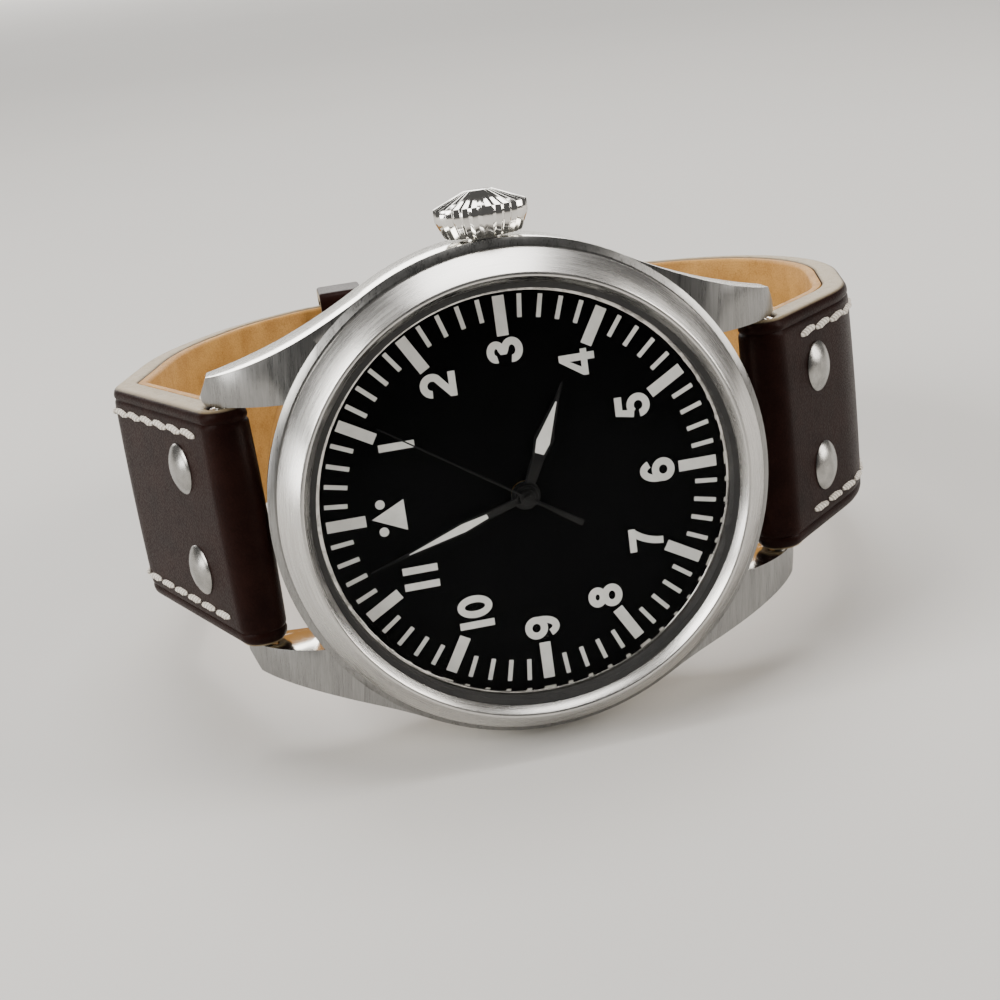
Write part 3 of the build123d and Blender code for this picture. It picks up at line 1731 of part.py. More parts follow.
with BuildPart() as strap_lining:
    add(
        band(
            short_line, short_strap_radii, short_split, short_strap_thicknesses, 1,
            strap_half_width,
        )
    )
    add(
        band(
            long_line, long_strap_radii, long_split, long_strap_thicknesses, -1,
            strap_half_width,
        )
    )
    for end in bar_ends:
        add(cylinder_across(end, lining_start, strap_half_width + overrun), mode=Mode.SUBTRACT)
    add(
        box_across(
            (buckle_bar_reach - lining_start, lining_end_low),
            (fixed_keeper_near, lining_end_high),
            strap_half_width + overrun,
        ),
        mode=Mode.SUBTRACT,
    )
    add(rivet_shanks(strap_cut), mode=Mode.SUBTRACT)
    add(strap_holes(), mode=Mode.SUBTRACT)
    add(tail_corners(), mode=Mode.SUBTRACT)

# Leather of the short strap, with a roll at both ends and a slot for the buckle's tongue
with BuildPart() as strap_short:
    add(
        band(
            short_line, short_strap_radii, short_none, short_strap_thicknesses, 1,
            strap_half_width,
        )
    )
    add(cylinder_across(bar_ends[0], roll_radius, strap_half_width))
    add(cylinder_across(buckle_at, buckle_roll_radius, strap_half_width))
    add(
        cylinder_across(
            bar_ends[0], spring_bar_radius + roll_bore_gap, strap_half_width + overrun
        ),
        mode=Mode.SUBTRACT,
    )
    add(
        cylinder_across(
            buckle_at, buckle_bar_radius + roll_bore_gap, strap_half_width + overrun
        ),
        mode=Mode.SUBTRACT,
    )
    add(
        box_across(
            (buckle_bar_reach - lining_start, lining_end_low - overrun),
            (buckle_bar_reach + lining_start, lining_end_high),
            tongue_slot_half_width,
        ),
        mode=Mode.SUBTRACT,
    )
    add(rivet_shanks(strap_cut), mode=Mode.SUBTRACT)
    add(strap_lining.part, mode=Mode.SUBTRACT)

# Leather of the long strap, with its holes and blunt tail
with BuildPart() as strap_long:
    add(
        band(
            long_line, long_strap_radii, long_none, long_strap_thicknesses, -1,
            strap_half_width,
        )
    )
    add(cylinder_across(bar_ends[1], roll_radius, strap_half_width))
    add(
        cylinder_across(
            bar_ends[1], spring_bar_radius + roll_bore_gap, strap_half_width + overrun
        ),
        mode=Mode.SUBTRACT,
    )
    add(rivet_shanks(strap_cut), mode=Mode.SUBTRACT)
    add(strap_holes(), mode=Mode.SUBTRACT)
    add(tail_corners(), mode=Mode.SUBTRACT)
    add(strap_lining.part, mode=Mode.SUBTRACT)

# Four equal rivets: a shallow dome on the outer face and a shank through both layers
with BuildPart() as rivets:
    dome_radius = (rivet_radius**2 + rivet_height**2) / (2 * rivet_height)
    for foot, out in rivet_feet:
        for across in (-rivet_offset, rivet_offset):
            seat = rivet_plane(foot, out, across)
            with BuildSketch(seat):
                Circle(rivet_shank_radius)
            extrude(amount=-short_strap_thicknesses[0])
            upright = Plane(origin=seat.origin, x_dir=seat.x_dir, z_dir=seat.y_dir * -1)
            turn = asin(rivet_radius / dome_radius) / 2
            with BuildSketch(upright):
                with BuildLine():
                    Line((0, 0), (rivet_radius, 0))
                    ThreePointArc(
                        (rivet_radius, 0),
                        (
                            dome_radius * sin(turn),
                            rivet_height - dome_radius * (1 - cos(turn)),
                        ),
                        (0, rivet_height),
                    )
                    Line((0, rivet_height), (0, 0))
                make_face()
            revolve(axis=Axis(seat.origin, seat.z_dir))

# Buckle frame: two legs joined by the front bar, with a blind hole in each leg
frame_turn = 180 + buckle_angle
buckle_origin = place(0, *buckle_at)
buckle_out = place(0, *shifted(buckle_at, 1, frame_turn + 90)) - buckle_origin
buckle_plane = Plane(origin=buckle_origin, x_dir=to_three, z_dir=buckle_out)
with BuildPart() as buckle_frame:
    with BuildSketch(buckle_plane):
        with Locations((0, (buckle_length + buckle_bar_width / 2 - buckle_heel) / 2)):
            RectangleRounded(
                2 * buckle_half_width,
                buckle_length + buckle_bar_width / 2 + buckle_heel,
                buckle_round,
            )
        with Locations((0, (buckle_length - buckle_bar_width / 2 - buckle_heel - overrun) / 2)):
            Rectangle(
                2 * buckle_inner_half,
                buckle_length - buckle_bar_width / 2 + buckle_heel + overrun,
                mode=Mode.SUBTRACT,
            )
    extrude(amount=buckle_thickness / 2, both=True)
    add(
        cylinder_across(buckle_at, buckle_bar_tip_radius + run_gap, buckle_hole_half),
        mode=Mode.SUBTRACT,
    )

with BuildPart() as buckle_bar:
    add(cylinder_across(buckle_at, buckle_bar_radius, buckle_bar_half))
    add(cylinder_across(buckle_at, buckle_bar_tip_radius, buckle_bar_tip_half))

# Buckle tongue: an eye on the bar and a bent arm that rests over the front bar
with BuildPart() as buckle_tongue:
    with BuildSketch(side.offset(-tongue_half_width)):
        with BuildLine():
            Polyline(*tongue_path)
        trace(line_width=tongue_thickness)
        with Locations(buckle_at):
            Circle(tongue_ring_radius)
            Circle(buckle_bar_radius + run_gap, mode=Mode.SUBTRACT)
    extrude(amount=2 * tongue_half_width)


def keeper(near, width, inner_level):
    # A closed leather loop around both straps
    middle = (inner_level + keeper_outer_level) / 2
    height = inner_level - keeper_outer_level
    loop = Plane(origin=place(0, near, middle), x_dir=to_three, z_dir=to_twelve)
    with BuildSketch(loop) as outline:
        RectangleRounded(
            2 * (keeper_half_width + keeper_thickness),
            height + 2 * keeper_thickness,
            keeper_round + keeper_thickness,
        )
        RectangleRounded(
            2 * keeper_half_width, height, keeper_round, mode=Mode.SUBTRACT
        )
    return extrude(outline.sketch, amount=width, mode=Mode.PRIVATE)


with BuildPart() as fixed_keeper:
    add(keeper(fixed_keeper_near, fixed_keeper_width, fixed_keeper_level))
with BuildPart() as free_keeper:
    add(keeper(free_keeper_near, free_keeper_width, free_keeper_level))

# Every piece goes to its own file, named after its node
pieces = {
    "case_middle": case_middle,
    "bezel": bezel,
    "crystal": crystal,
    "crystal_gasket": crystal_gasket,
    "inner_flange": inner_flange,
    "dial": dial,
    "dial_print": dial_print,
    "movement_ring": movement_ring,
    "case_back": case_back,
    "case_back_gasket": case_back_gasket,
    "crown_tube": crown_tube,
    "crown": crown,
    "crown_gasket": crown_gasket,
    "winding_stem": winding_stem,
    "winding_pinion": winding_pinion,
    "sliding_pinion": sliding_pinion,
    "main_plate": main_plate,
    "barrel_bridge": barrel_bridge,
    "train_bridge": train_bridge,
    "pallet_bridge": pallet_bridge,
    "balance_cock": balance_cock,
    "movement_screws": movement_screws,
    "jewels": jewels,
    "barrel": barrel,
    "mainspring": mainspring,
    "barrel_arbor": barrel_arbor,
    "ratchet_wheel": ratchet_wheel,
    "crown_wheel": crown_wheel,
    "click": click,
    "great_wheel": great_wheel,
    "third_wheel": third_wheel,
    "seconds_wheel": seconds_wheel,
    "escape_wheel": escape_wheel,
    "pallet_fork": pallet_fork,
    "balance_wheel": balance_wheel,
    "hairspring": hairspring,
    "cannon_pinion": cannon_pinion,
    "minute_wheel": minute_wheel,
    "hour_wheel": hour_wheel,
    "setting_wheel": setting_wheel,
    "hour_hand": hour_hand,
    "hour_fill": hour_fill,
    "minute_hand": minute_hand,
    "minute_fill": minute_fill,
    "seconds_hand": seconds_hand,
    "spring_bars": spring_bars,
    "bar_tip_12_crown": bar_tip_12_crown,
    "bar_tip_12_far": bar_tip_12_far,
    "bar_tip_6_crown": bar_tip_6_crown,
    "bar_tip_6_far": bar_tip_6_far,
    "strap_short": strap_short,
    "strap_long": strap_long,
    "strap_lining": strap_lining,
    "rivets": rivets,
    "buckle_frame": buckle_frame,
    "buckle_bar": buckle_bar,
    "buckle_tongue": buckle_tongue,
    "fixed_keeper": fixed_keeper,
    "free_keeper": free_keeper,
}
os.makedirs("parts", exist_ok=True)
for name, piece in pieces.items():
    piece.part.label = name
    export_step(piece.part, f"parts/{name}.step")
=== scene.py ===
import math

import bpy
import numpy as np
from mathutils import Matrix, Vector


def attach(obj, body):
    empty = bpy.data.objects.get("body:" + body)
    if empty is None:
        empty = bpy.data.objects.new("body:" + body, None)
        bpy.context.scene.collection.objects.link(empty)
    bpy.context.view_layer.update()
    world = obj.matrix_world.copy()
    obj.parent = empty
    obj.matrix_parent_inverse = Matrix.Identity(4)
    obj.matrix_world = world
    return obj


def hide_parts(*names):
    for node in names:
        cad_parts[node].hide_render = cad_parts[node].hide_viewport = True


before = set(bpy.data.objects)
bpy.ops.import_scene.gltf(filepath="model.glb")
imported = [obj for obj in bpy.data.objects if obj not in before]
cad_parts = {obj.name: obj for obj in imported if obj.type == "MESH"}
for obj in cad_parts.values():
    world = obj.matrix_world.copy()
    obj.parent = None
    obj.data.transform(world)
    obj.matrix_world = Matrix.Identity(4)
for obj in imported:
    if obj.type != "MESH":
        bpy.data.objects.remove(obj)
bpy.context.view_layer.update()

# The watch leans back on its flank. Pieces are modelled in watch millimetres: x towards three
# o'clock, y towards twelve and z out of the dial, and then brought into the frame in metres.
LEAN = math.radians(8.298099)
ORIGIN = (-0.002833555, -0.029881710, 0.020642119)
MILLIMETRE = 0.001
TO_THREE = Vector((0.0, math.sin(LEAN), math.cos(LEAN)))
TO_TWELVE = Vector((-1.0, 0.0, 0.0))
OUT = Vector((0.0, -math.cos(LEAN), math.sin(LEAN)))
WATCH = Matrix.Translation(ORIGIN) @ Matrix(
    [[MILLIMETRE * axis[row] for axis in (TO_THREE, TO_TWELVE, OUT)] + [0.0] for row in range(3)]
    + [[0.0, 0.0, 0.0, 1.0]]
)
WATCH_TURN = Matrix([[axis[row] for axis in (TO_THREE, TO_TWELVE, OUT)] for row in range(3)])

# The polished faces: on the bezel those inside this radius, and on the case those whose normals
# have less than this share along the dial's axis
INNER_WALL = 16.85
SIDEWAYS = 0.42

# The strap, in watch millimetres: places as (y, z), and corners of its course along the outer face
# with their radii and depths, from the spring bar on
SPRING_BAR = (22.2, -5.2)
BUCKLE_BAR = (-3.0, -58.4)
STRAP_HALF = 9.85
LINING = 0.9
LINING_GAP = 0.01
LINING_HALF = STRAP_HALF - 0.10
ROLL_RADIUS = 2.1
ROLL_WALL = 1.12
SHORT_BENDS = ((32.6, -23.3), (29.8, -41.0), (22.3, -53.8), (14.5, -59.6), (-3.0, -59.6))
SHORT_ROUNDS = (4.0, 40.0, 24.0, 8.0)
SHORT_DEPTHS = (3.4, 3.2, 2.9, 2.6, 2.4)
LONG_BENDS = (
    (-33.8, -14.2), (-39.3, -32.5), (-35.2, -45.5), (-30.0, -50.0), (-7.2, -63.0), (14.0, -63.0),
)
LONG_ROUNDS = (16.0, 26.0, 18.0, 16.0, 6.0)
LONG_DEPTHS = (3.4, 3.2, 3.0, 2.8, 2.5, 2.3)


# Placing and finishing
MERGE_DISTANCE = 1e-6
SEAM_DISTANCE = 1e-4


def leave_all():
    if bpy.context.object and bpy.context.object.mode != "OBJECT":
        bpy.ops.object.mode_set(mode="OBJECT")
    bpy.ops.object.select_all(action="DESELECT")


def take(piece):
    leave_all()
    piece.select_set(True)
    bpy.context.view_layer.objects.active = piece


def apply_all(piece):
    take(piece)
    for modifier in list(piece.modifiers):
        bpy.ops.object.modifier_apply(modifier=modifier.name)


def smooth(piece, degrees=32):
    take(piece)
    bpy.ops.object.shade_smooth_by_angle(angle=math.radians(degrees))


def edit_all(piece):
    """Opens a piece in edit mode with everything selected."""
    take(piece)
    bpy.ops.object.mode_set(mode="EDIT")
    bpy.ops.mesh.select_all(action="SELECT")


def new_object(name, data):
    item = bpy.data.objects.new(name, data)
    bpy.context.scene.collection.objects.link(item)
    return item


def into_frame(piece):
    """Brings a piece modelled in watch millimetres into the frame, at the origin."""
    piece.data.transform(piece.matrix_world)
    piece.matrix_world = Matrix.Identity(4)
    piece.data.transform(WATCH)
    piece.data.update()


def settle(piece, name, body, material, *nodes):
    """Names a finished piece, puts it on its body and lets it stand for its solids."""
    piece.name = name
    piece.data.name = name
    piece.data.materials.clear()
    piece.data.materials.append(MATERIALS[material])
    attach(piece, body)
    if nodes:
        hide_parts(*nodes)


def soften(piece, width, segments=2, degrees=28):
    """Rounds the sharp edges of a piece by a small width."""
    bevel = piece.modifiers.new("soft edges", "BEVEL")
    bevel.width = width
    bevel.segments = segments
    bevel.limit_method = "ANGLE"
    bevel.angle_limit = math.radians(degrees)
    bevel.use_clamp_overlap = True
    bevel.miter_outer = "MITER_ARC"
    apply_all(piece)


def merged(piece, distance, flat=0.6):
    """Joins loose triangles into whole faces."""
    edit_all(piece)
    bpy.ops.mesh.remove_doubles(threshold=distance)
    bpy.ops.mesh.dissolve_limited(angle_limit=math.radians(flat))
    bpy.ops.object.mode_set(mode="OBJECT")


def mark_polish(piece, polished):
    """Marks the faces that are polished, and not brushed, for the metal's material."""
    polish = piece.data.attributes.new("polish", "FLOAT", "FACE")
    for index, polygon in enumerate(piece.data.polygons):
        polish.data[index].value = 1.0 if polished(polygon) else 0.0


def from_solid(node, width, segments):
    """A copy of a solid with its edges softened, in the frame's metres."""
    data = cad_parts[node].data.copy()
    data.materials.clear()
    piece = new_object(node + "_finished", data)
    merged(piece, MERGE_DISTANCE)
    soften(piece, width * MILLIMETRE, segments)
    smooth(piece)
    return piece


def turned(profile, steps=160, closed=True, edge=0.0):
    """Spins an outline of (radius, height) about the dial's axis."""
    data = bpy.data.meshes.new("turned")
    points = [(radius, 0.0, height) for radius, height in profile]
    pairs = [(n, n + 1) for n in range(len(points) - 1)]
    if closed:
        pairs.append((len(points) - 1, 0))
    data.from_pydata(points, pairs, [])
    piece = new_object("turned", data)
    edit_all(piece)
    bpy.ops.mesh.spin(steps=steps, angle=2 * math.pi, center=(0, 0, 0), axis=(0, 0, 1))
    bpy.ops.mesh.select_all(action="SELECT")
    bpy.ops.mesh.remove_doubles(threshold=SEAM_DISTANCE)
    bpy.ops.mesh.normals_make_consistent(inside=False)
    bpy.ops.object.mode_set(mode="OBJECT")
    if edge:
        soften(piece, edge, segments=3, degrees=20)
    smooth(piece)
    return piece


def mark_strap(data, marks):
    """Writes the strap's UV from one mark for each vertex."""
    layer = data.uv_layers.new(name="strap")
    for loop in data.loops:
        layer.data[loop.index].uv = marks[loop.vertex_index]


def built(name, points, faces, marks, hole_sides=0):
    """A piece from its points and faces, with the strap's UV and its faces outwards."""
    data = bpy.data.meshes.new(name)
    data.from_pydata(points, [], faces)
    mark_strap(data, marks)
    piece = new_object(name, data)
    edit_all(piece)
    if hole_sides:
        bpy.ops.mesh.fill_holes(sides=hole_sides)
    bpy.ops.mesh.normals_make_consistent(inside=False)
    bpy.ops.object.mode_set(mode="OBJECT")
    return piece


def loft_faces(rows, count, closed=False):
    """Faces between rings of points, each ring with as many points as the next."""
    faces = []
    for row in range(rows if closed else rows - 1):
        begin, after = row * count, (row + 1) % rows * count
        for n in range(count):
            beside = (n + 1) % count
            faces.append((begin + n, begin + beside, after + beside, after + n))
    return faces


def joined(pieces):
    take(pieces[0])
    for piece in pieces[1:]:
        piece.select_set(True)
    bpy.ops.object.join()
    return bpy.context.object


# Node groups shared by the materials. Strokes are stretched along x and lie on broader ones, the
# leather's cells wander, and specks are this many times finer than the slow change.
STROKE_STRETCH = (0.045, 1.0, 1.0)
BROAD_SHARE = 0.22
WANDER_SCALE = 1.1
WANDER = (0.5, 0.5, 0.5)
SPECKS = 24.0


def new_group(name, inputs, outputs):
    group = bpy.data.node_groups.new(name, "ShaderNodeTree")
    for label, kind, value in inputs:
        socket = group.interface.new_socket(name=label, in_out="INPUT", socket_type=kind)
        socket.default_value = value
    for label, kind in outputs:
        group.interface.new_socket(name=label, in_out="OUTPUT", socket_type=kind)
    begin = group.nodes.new("NodeGroupInput")
    end = group.nodes.new("NodeGroupOutput")
    return group, begin, end


def add(tree, kind, **settings):
    node = tree.nodes.new(kind)
    for key, value in settings.items():
        setattr(node, key, value)
    return node


def math_node(tree, operation, first, second=None, clamp=False):
    node = add(tree, "ShaderNodeMath", operation=operation, use_clamp=clamp)
    for place, value in enumerate((first, second)):
        if isinstance(value, (int, float)):
            node.inputs[place].default_value = value
        elif value is not None:
            tree.links.new(value, node.inputs[place])
    return node.outputs[0]


def weighed(tree, first, first_share, second, second_share):
    """The sum of two values, each times its share."""
    return math_node(
        tree, "ADD", math_node(tree, "MULTIPLY", first, first_share),
        math_node(tree, "MULTIPLY", second, second_share),
    )


def spread(tree, value, low, high, new_low=0.0, new_high=1.0):
    node = add(tree, "ShaderNodeMapRange", clamp=True)
    tree.links.new(value, node.inputs["Value"])
    for label, number in (
        ("From Min", low), ("From Max", high), ("To Min", new_low), ("To Max", new_high),
    ):
        node.inputs[label].default_value = number
    return node.outputs["Result"]


def noise(tree, vector, scale, detail=3.0, rough=0.55):
    node = add(tree, "ShaderNodeTexNoise")
    node.inputs["Detail"].default_value = detail
    node.inputs["Roughness"].default_value = rough
    if isinstance(scale, (int, float)):
        node.inputs["Scale"].default_value = scale
    else:
        tree.links.new(scale, node.inputs["Scale"])
    tree.links.new(vector, node.inputs["Vector"])
    return node.outputs["Fac"]


def watch_place(tree):
    """Object coordinates turned into watch millimetres: x to three, y to twelve, z out."""
    place = add(tree, "ShaderNodeTexCoord")
    turn = add(tree, "ShaderNodeMapping", vector_type="TEXTURE")
    turn.inputs["Location"].default_value = ORIGIN
    turn.inputs["Rotation"].default_value = WATCH_TURN.to_euler("XYZ")
    turn.inputs["Scale"].default_value = (MILLIMETRE, MILLIMETRE, MILLIMETRE)
    tree.links.new(place.outputs["Object"], turn.inputs["Vector"])
    return turn.outputs["Vector"]


def make_brushing():
    """Fine scratches that run along the x of the vector given, with their height and tone."""
    group, begin, end = new_group(
        "brushing",
        [("Vector", "NodeSocketVector", (0, 0, 0)), ("Fineness", "NodeSocketFloat", 9.0)],
        [("Height", "NodeSocketFloat"), ("Tone", "NodeSocketFloat")],
    )
    fineness = begin.outputs["Fineness"]
    stretch = add(group, "ShaderNodeVectorMath", operation="MULTIPLY")
    group.links.new(begin.outputs["Vector"], stretch.inputs[0])
    stretch.inputs[1].default_value = STROKE_STRETCH
    strokes = stretch.outputs[0]
    fine = noise(group, strokes, fineness, detail=5.0, rough=0.7)
    broad = noise(group, strokes, math_node(group, "MULTIPLY", fineness, BROAD_SHARE), detail=2.0)
    group.links.new(fine, end.inputs["Height"])
    mixed = weighed(group, fine, 0.6, broad, 0.4)
    group.links.new(spread(group, mixed, 0.32, 0.68), end.inputs["Tone"])
    return group


def make_round_place():
    """Turns a place into (length along the arc, radius, height) about an axis z."""
    group, begin, end = new_group(
        "round_place",
        [("Vector", "NodeSocketVector", (0, 0, 0)), ("Arc", "NodeSocketFloat", 18.0)],
        [("Vector", "NodeSocketVector")],
    )
    parts = add(group, "ShaderNodeSeparateXYZ")
    group.links.new(begin.outputs["Vector"], parts.inputs[0])
    x, y, z = parts.outputs
    radius = math_node(group, "SQRT", weighed(group, x, x, y, y))
    angle = math_node(group, "ARCTAN2", y, x)
    gather = add(group, "ShaderNodeCombineXYZ")
    along = math_node(group, "MULTIPLY", angle, begin.outputs["Arc"])
    for place, value in enumerate((along, radius, z)):
        group.links.new(value, gather.inputs[place])
    group.links.new(gather.outputs[0], end.inputs["Vector"])
    return group


def make_grain():
    """Leather pebbles: their height, a slow change of tone, and the cracks between them."""
    group, begin, end = new_group(
        "leather_grain",
        [("Vector", "NodeSocketVector", (0, 0, 0)), ("Pebble", "NodeSocketFloat", 2.2)],
        [
            ("Height", "NodeSocketFloat"), ("Mottle", "NodeSocketFloat"),
            ("Cracks", "NodeSocketFloat"),
        ],
    )
    vector = begin.outputs["Vector"]
    wander = add(group, "ShaderNodeTexNoise")
    wander.inputs["Scale"].default_value = WANDER_SCALE
    group.links.new(vector, wander.inputs["Vector"])
    shift = add(group, "ShaderNodeVectorMath", operation="MULTIPLY_ADD")
    group.links.new(wander.outputs["Color"], shift.inputs[0])
    shift.inputs[1].default_value = WANDER
    group.links.new(vector, shift.inputs[2])
    cells = add(group, "ShaderNodeTexVoronoi", feature="DISTANCE_TO_EDGE")
    group.links.new(shift.outputs[0], cells.inputs["Vector"])
    group.links.new(begin.outputs["Pebble"], cells.inputs["Scale"])
    distance = cells.outputs["Distance"]
    domes = spread(group, distance, 0.0, 0.22)
    pores = noise(group, vector, scale=9.0, detail=4.0, rough=0.6)
    for label, value in (
        ("Height", weighed(group, domes, 0.75, pores, 0.5)),
        ("Mottle", noise(group, vector, scale=0.35, detail=4.0, rough=0.6)),
        ("Cracks", spread(group, distance, 0.0, 0.09, new_low=1.0, new_high=0.0)),
    ):
        group.links.new(value, end.inputs[label])
    return group


def make_soft_change():
    """A slow, low change over a surface, with some finer specks."""
    group, begin, end = new_group(
        "soft_change",
        [("Vector", "NodeSocketVector", (0, 0, 0)), ("Scale", "NodeSocketFloat", 0.25)],
        [("Broad", "NodeSocketFloat"), ("Fine", "NodeSocketFloat")],
    )
    vector, scale = begin.outputs["Vector"], begin.outputs["Scale"]
    finer = math_node(group, "MULTIPLY", scale, SPECKS)
    group.links.new(noise(group, vector, scale, 3.0), end.inputs["Broad"])
    group.links.new(noise(group, vector, finer, 4.0, 0.65), end.inputs["Fine"])
    return group


BRUSHING = make_brushing()
ROUND_PLACE = make_round_place()
GRAIN = make_grain()
SOFT_CHANGE = make_soft_change()


# Materials, each listed under its name by the function that begins it. The rim is where the
# leather takes the tone of its cut edge, lightened as a painted highlight, in millimetres from the
# middle of the strap.
MATERIALS = {}
SMOOTHER_SHARE = 0.45
CRACK_PAINTED_SHADE = (0.25, 0.22, 0.2)
LACQUER_ROUGH = (0.52, 0.66)
RIM = (9.62, 9.83)


def begin_material(name):
    material = bpy.data.materials.new(name + "_finish")
    MATERIALS[name] = material
    material.use_nodes = True
    tree = material.node_tree
    tree.nodes.clear()
    shader = add(tree, "ShaderNodeBsdfPrincipled")
    result = add(tree, "ShaderNodeOutputMaterial")
    tree.links.new(shader.outputs[0], result.inputs["Surface"])
    return tree, shader


def use(tree, group, **values):
    node = add(tree, "ShaderNodeGroup", node_tree=group)
    for key, value in values.items():
        if isinstance(value, (int, float)):
            node.inputs[key].default_value = value
        else:
            tree.links.new(value, node.inputs[key])
    return node


def two_tone(tree, factor, first, second, blend_type="MIX"):
    """A mix of two tones, each a colour or what another node puts out."""
    node = add(tree, "ShaderNodeMix", data_type="RGBA", blend_type=blend_type)
    tree.links.new(factor, node.inputs["Factor"])
    for label, tone in (("A", first), ("B", second)):
        if isinstance(tone, tuple):
            node.inputs[label].default_value = (*tone, 1)
        else:
            tree.links.new(tone, node.inputs[label])
    return node.outputs["Result"]


def relief(tree, shader, height, distance):
    node = add(tree, "ShaderNodeBump")
    node.inputs["Distance"].default_value = distance * MILLIMETRE
    node.inputs["Strength"].default_value = 1.0
    tree.links.new(height, node.inputs["Height"])
    tree.links.new(node.outputs["Normal"], shader.inputs["Normal"])


def brushed_metal(
    name, dark, light, rough, around=None, turn=0.0, fineness=9.0, depth=0.004, flank=None,
):
    """Brushed steel: straight strokes along x after the turn, or strokes round the dial's axis.
    Faces marked with polish take the colour given as flank and are smooth; on the case that colour
    is a painted highlight."""
    tree, shader = begin_material(name)
    place = watch_place(tree)
    if around:
        strokes = use(tree, ROUND_PLACE, Vector=place, Arc=around).outputs["Vector"]
    else:
        mapping = add(tree, "ShaderNodeMapping")
        mapping.inputs["Rotation"].default_value = (0, 0, math.radians(turn))
        tree.links.new(place, mapping.inputs["Vector"])
        strokes = mapping.outputs["Vector"]
    brush = use(tree, BRUSHING, Vector=strokes, Fineness=fineness)
    change = use(tree, SOFT_CHANGE, Vector=place, Scale=0.22)
    tone = two_tone(tree, brush.outputs["Tone"], dark, light)
    wear = weighed(tree, brush.outputs["Tone"], 0.5, change.outputs["Broad"], 0.5)
    roughness = spread(tree, wear, 0.2, 0.8, *rough)
    height = brush.outputs["Height"]
    if flank:
        polish = add(tree, "ShaderNodeAttribute", attribute_name="polish").outputs["Fac"]
        brushed = math_node(tree, "SUBTRACT", 1.0, polish)
        height = math_node(tree, "MULTIPLY", height, brushed)
        smoother = spread(tree, brushed, 0.0, 1.0, SMOOTHER_SHARE, 1.0)
        roughness = math_node(tree, "MULTIPLY", roughness, smoother)
        # On polished faces the flank colour replaces the brushed tone; on the case it is a painted
        # highlight.
        tone = two_tone(tree, polish, tone, flank)
    tree.links.new(tone, shader.inputs["Base Color"])
    tree.links.new(roughness, shader.inputs["Roughness"])
    shader.inputs["Metallic"].default_value = 1.0
    shader.inputs["Anisotropic"].default_value = 0.45
    relief(tree, shader, height, depth)


def satin(
    name, dark, light, rough, metal=0.0, scale=0.4, depth=0.002, coat=0.0, specular=0.5,
):
    """A plain finish with a slow change of tone and a fine surface."""
    tree, shader = begin_material(name)
    change = use(tree, SOFT_CHANGE, Vector=watch_place(tree), Scale=scale)
    tone = two_tone(tree, spread(tree, change.outputs["Broad"], 0.3, 0.7), dark, light)
    roughness = spread(tree, change.outputs["Fine"], 0.25, 0.75, *rough)
    tree.links.new(tone, shader.inputs["Base Color"])
    tree.links.new(roughness, shader.inputs["Roughness"])
    shader.inputs["Metallic"].default_value = metal
    shader.inputs["Coat Weight"].default_value = coat
    shader.inputs["Specular IOR Level"].default_value = specular
    relief(tree, shader, change.outputs["Fine"], depth)


def dial_lacquer(name, dark, light):
    """Matte lacquer with a very fine tooth."""
    tree, shader = begin_material(name)
    place = watch_place(tree)
    change = use(tree, SOFT_CHANGE, Vector=place, Scale=0.15)
    roughness = spread(tree, change.outputs["Fine"], 0.3, 0.7, *LACQUER_ROUGH)
    tone = two_tone(tree, change.outputs["Broad"], dark, light)
    tree.links.new(tone, shader.inputs["Base Color"])
    tree.links.new(roughness, shader.inputs["Roughness"])
    shader.inputs["Specular IOR Level"].default_value = 0.02
    tooth = noise(tree, place, scale=14.0, detail=2.0, rough=0.6)
    relief(tree, shader, tooth, distance=0.0004)


def glass(name, tint):
    """Clear domed glass that stays open to the dial and catches the light at its edges."""
    tree, shader = begin_material(name)
    shader.inputs["Base Color"].default_value = (*tint, 1)
    shader.inputs["Metallic"].default_value = 1.0
    shader.inputs["Roughness"].default_value = 0.02
    change = use(tree, SOFT_CHANGE, Vector=watch_place(tree), Scale=0.1)
    edge = add(tree, "ShaderNodeLayerWeight")
    edge.inputs["Blend"].default_value = 0.32
    shown = spread(tree, edge.outputs["Facing"], 0.45, 1.0, new_low=0.0015, new_high=0.22)
    smear = spread(tree, change.outputs["Broad"], 0.2, 0.8, new_low=0.9, new_high=1.1)
    tree.links.new(math_node(tree, "MULTIPLY", shown, smear, True), shader.inputs["Alpha"])
    MATERIALS[name].surface_render_method = "BLENDED"


def leather(
    name, dark, light, rough, pebble, depth, shine, edge_tone_and_highlight=None,
):
    """Strap leather. With a tone for its cut edges, lightened as a painted highlight, it reads the
    strap's UV: v runs across it.
    """
    tree, shader = begin_material(name)
    place = watch_place(tree)
    grain = use(tree, GRAIN, Vector=place, Pebble=pebble)
    tone = two_tone(tree, spread(tree, grain.outputs["Mottle"], 0.3, 0.7), dark, light)
    # The cracks between the pebbles are darkened as painted shade.
    cracks = math_node(tree, "MULTIPLY", grain.outputs["Cracks"], 0.35)
    tone = two_tone(tree, cracks, tone, CRACK_PAINTED_SHADE, "MULTIPLY")
    if edge_tone_and_highlight:
        parts = add(tree, "ShaderNodeSeparateXYZ")
        marks = add(tree, "ShaderNodeUVMap", uv_map="strap").outputs["UV"]
        tree.links.new(marks, parts.inputs[0])
        across = math_node(tree, "ABSOLUTE", parts.outputs[1])
        rim = spread(tree, across, *RIM)
        worn = noise(tree, place, scale=1.2, detail=3.0, rough=0.6)
        worn = spread(tree, worn, 0.25, 0.5, new_low=0.72, new_high=1.0)
        # The cut edge's tone is its own pale colour, lightened as a painted highlight.
        tone = two_tone(tree, math_node(tree, "MULTIPLY", rim, worn, True), tone, edge_tone_and_highlight)
    tree.links.new(tone, shader.inputs["Base Color"])
    roughness = spread(tree, grain.outputs["Height"], 0.2, 1.0, rough[1], rough[0])
    tree.links.new(roughness, shader.inputs["Roughness"])
    shader.inputs["Specular IOR Level"].default_value = shine
    relief(tree, shader, grain.outputs["Height"], depth)


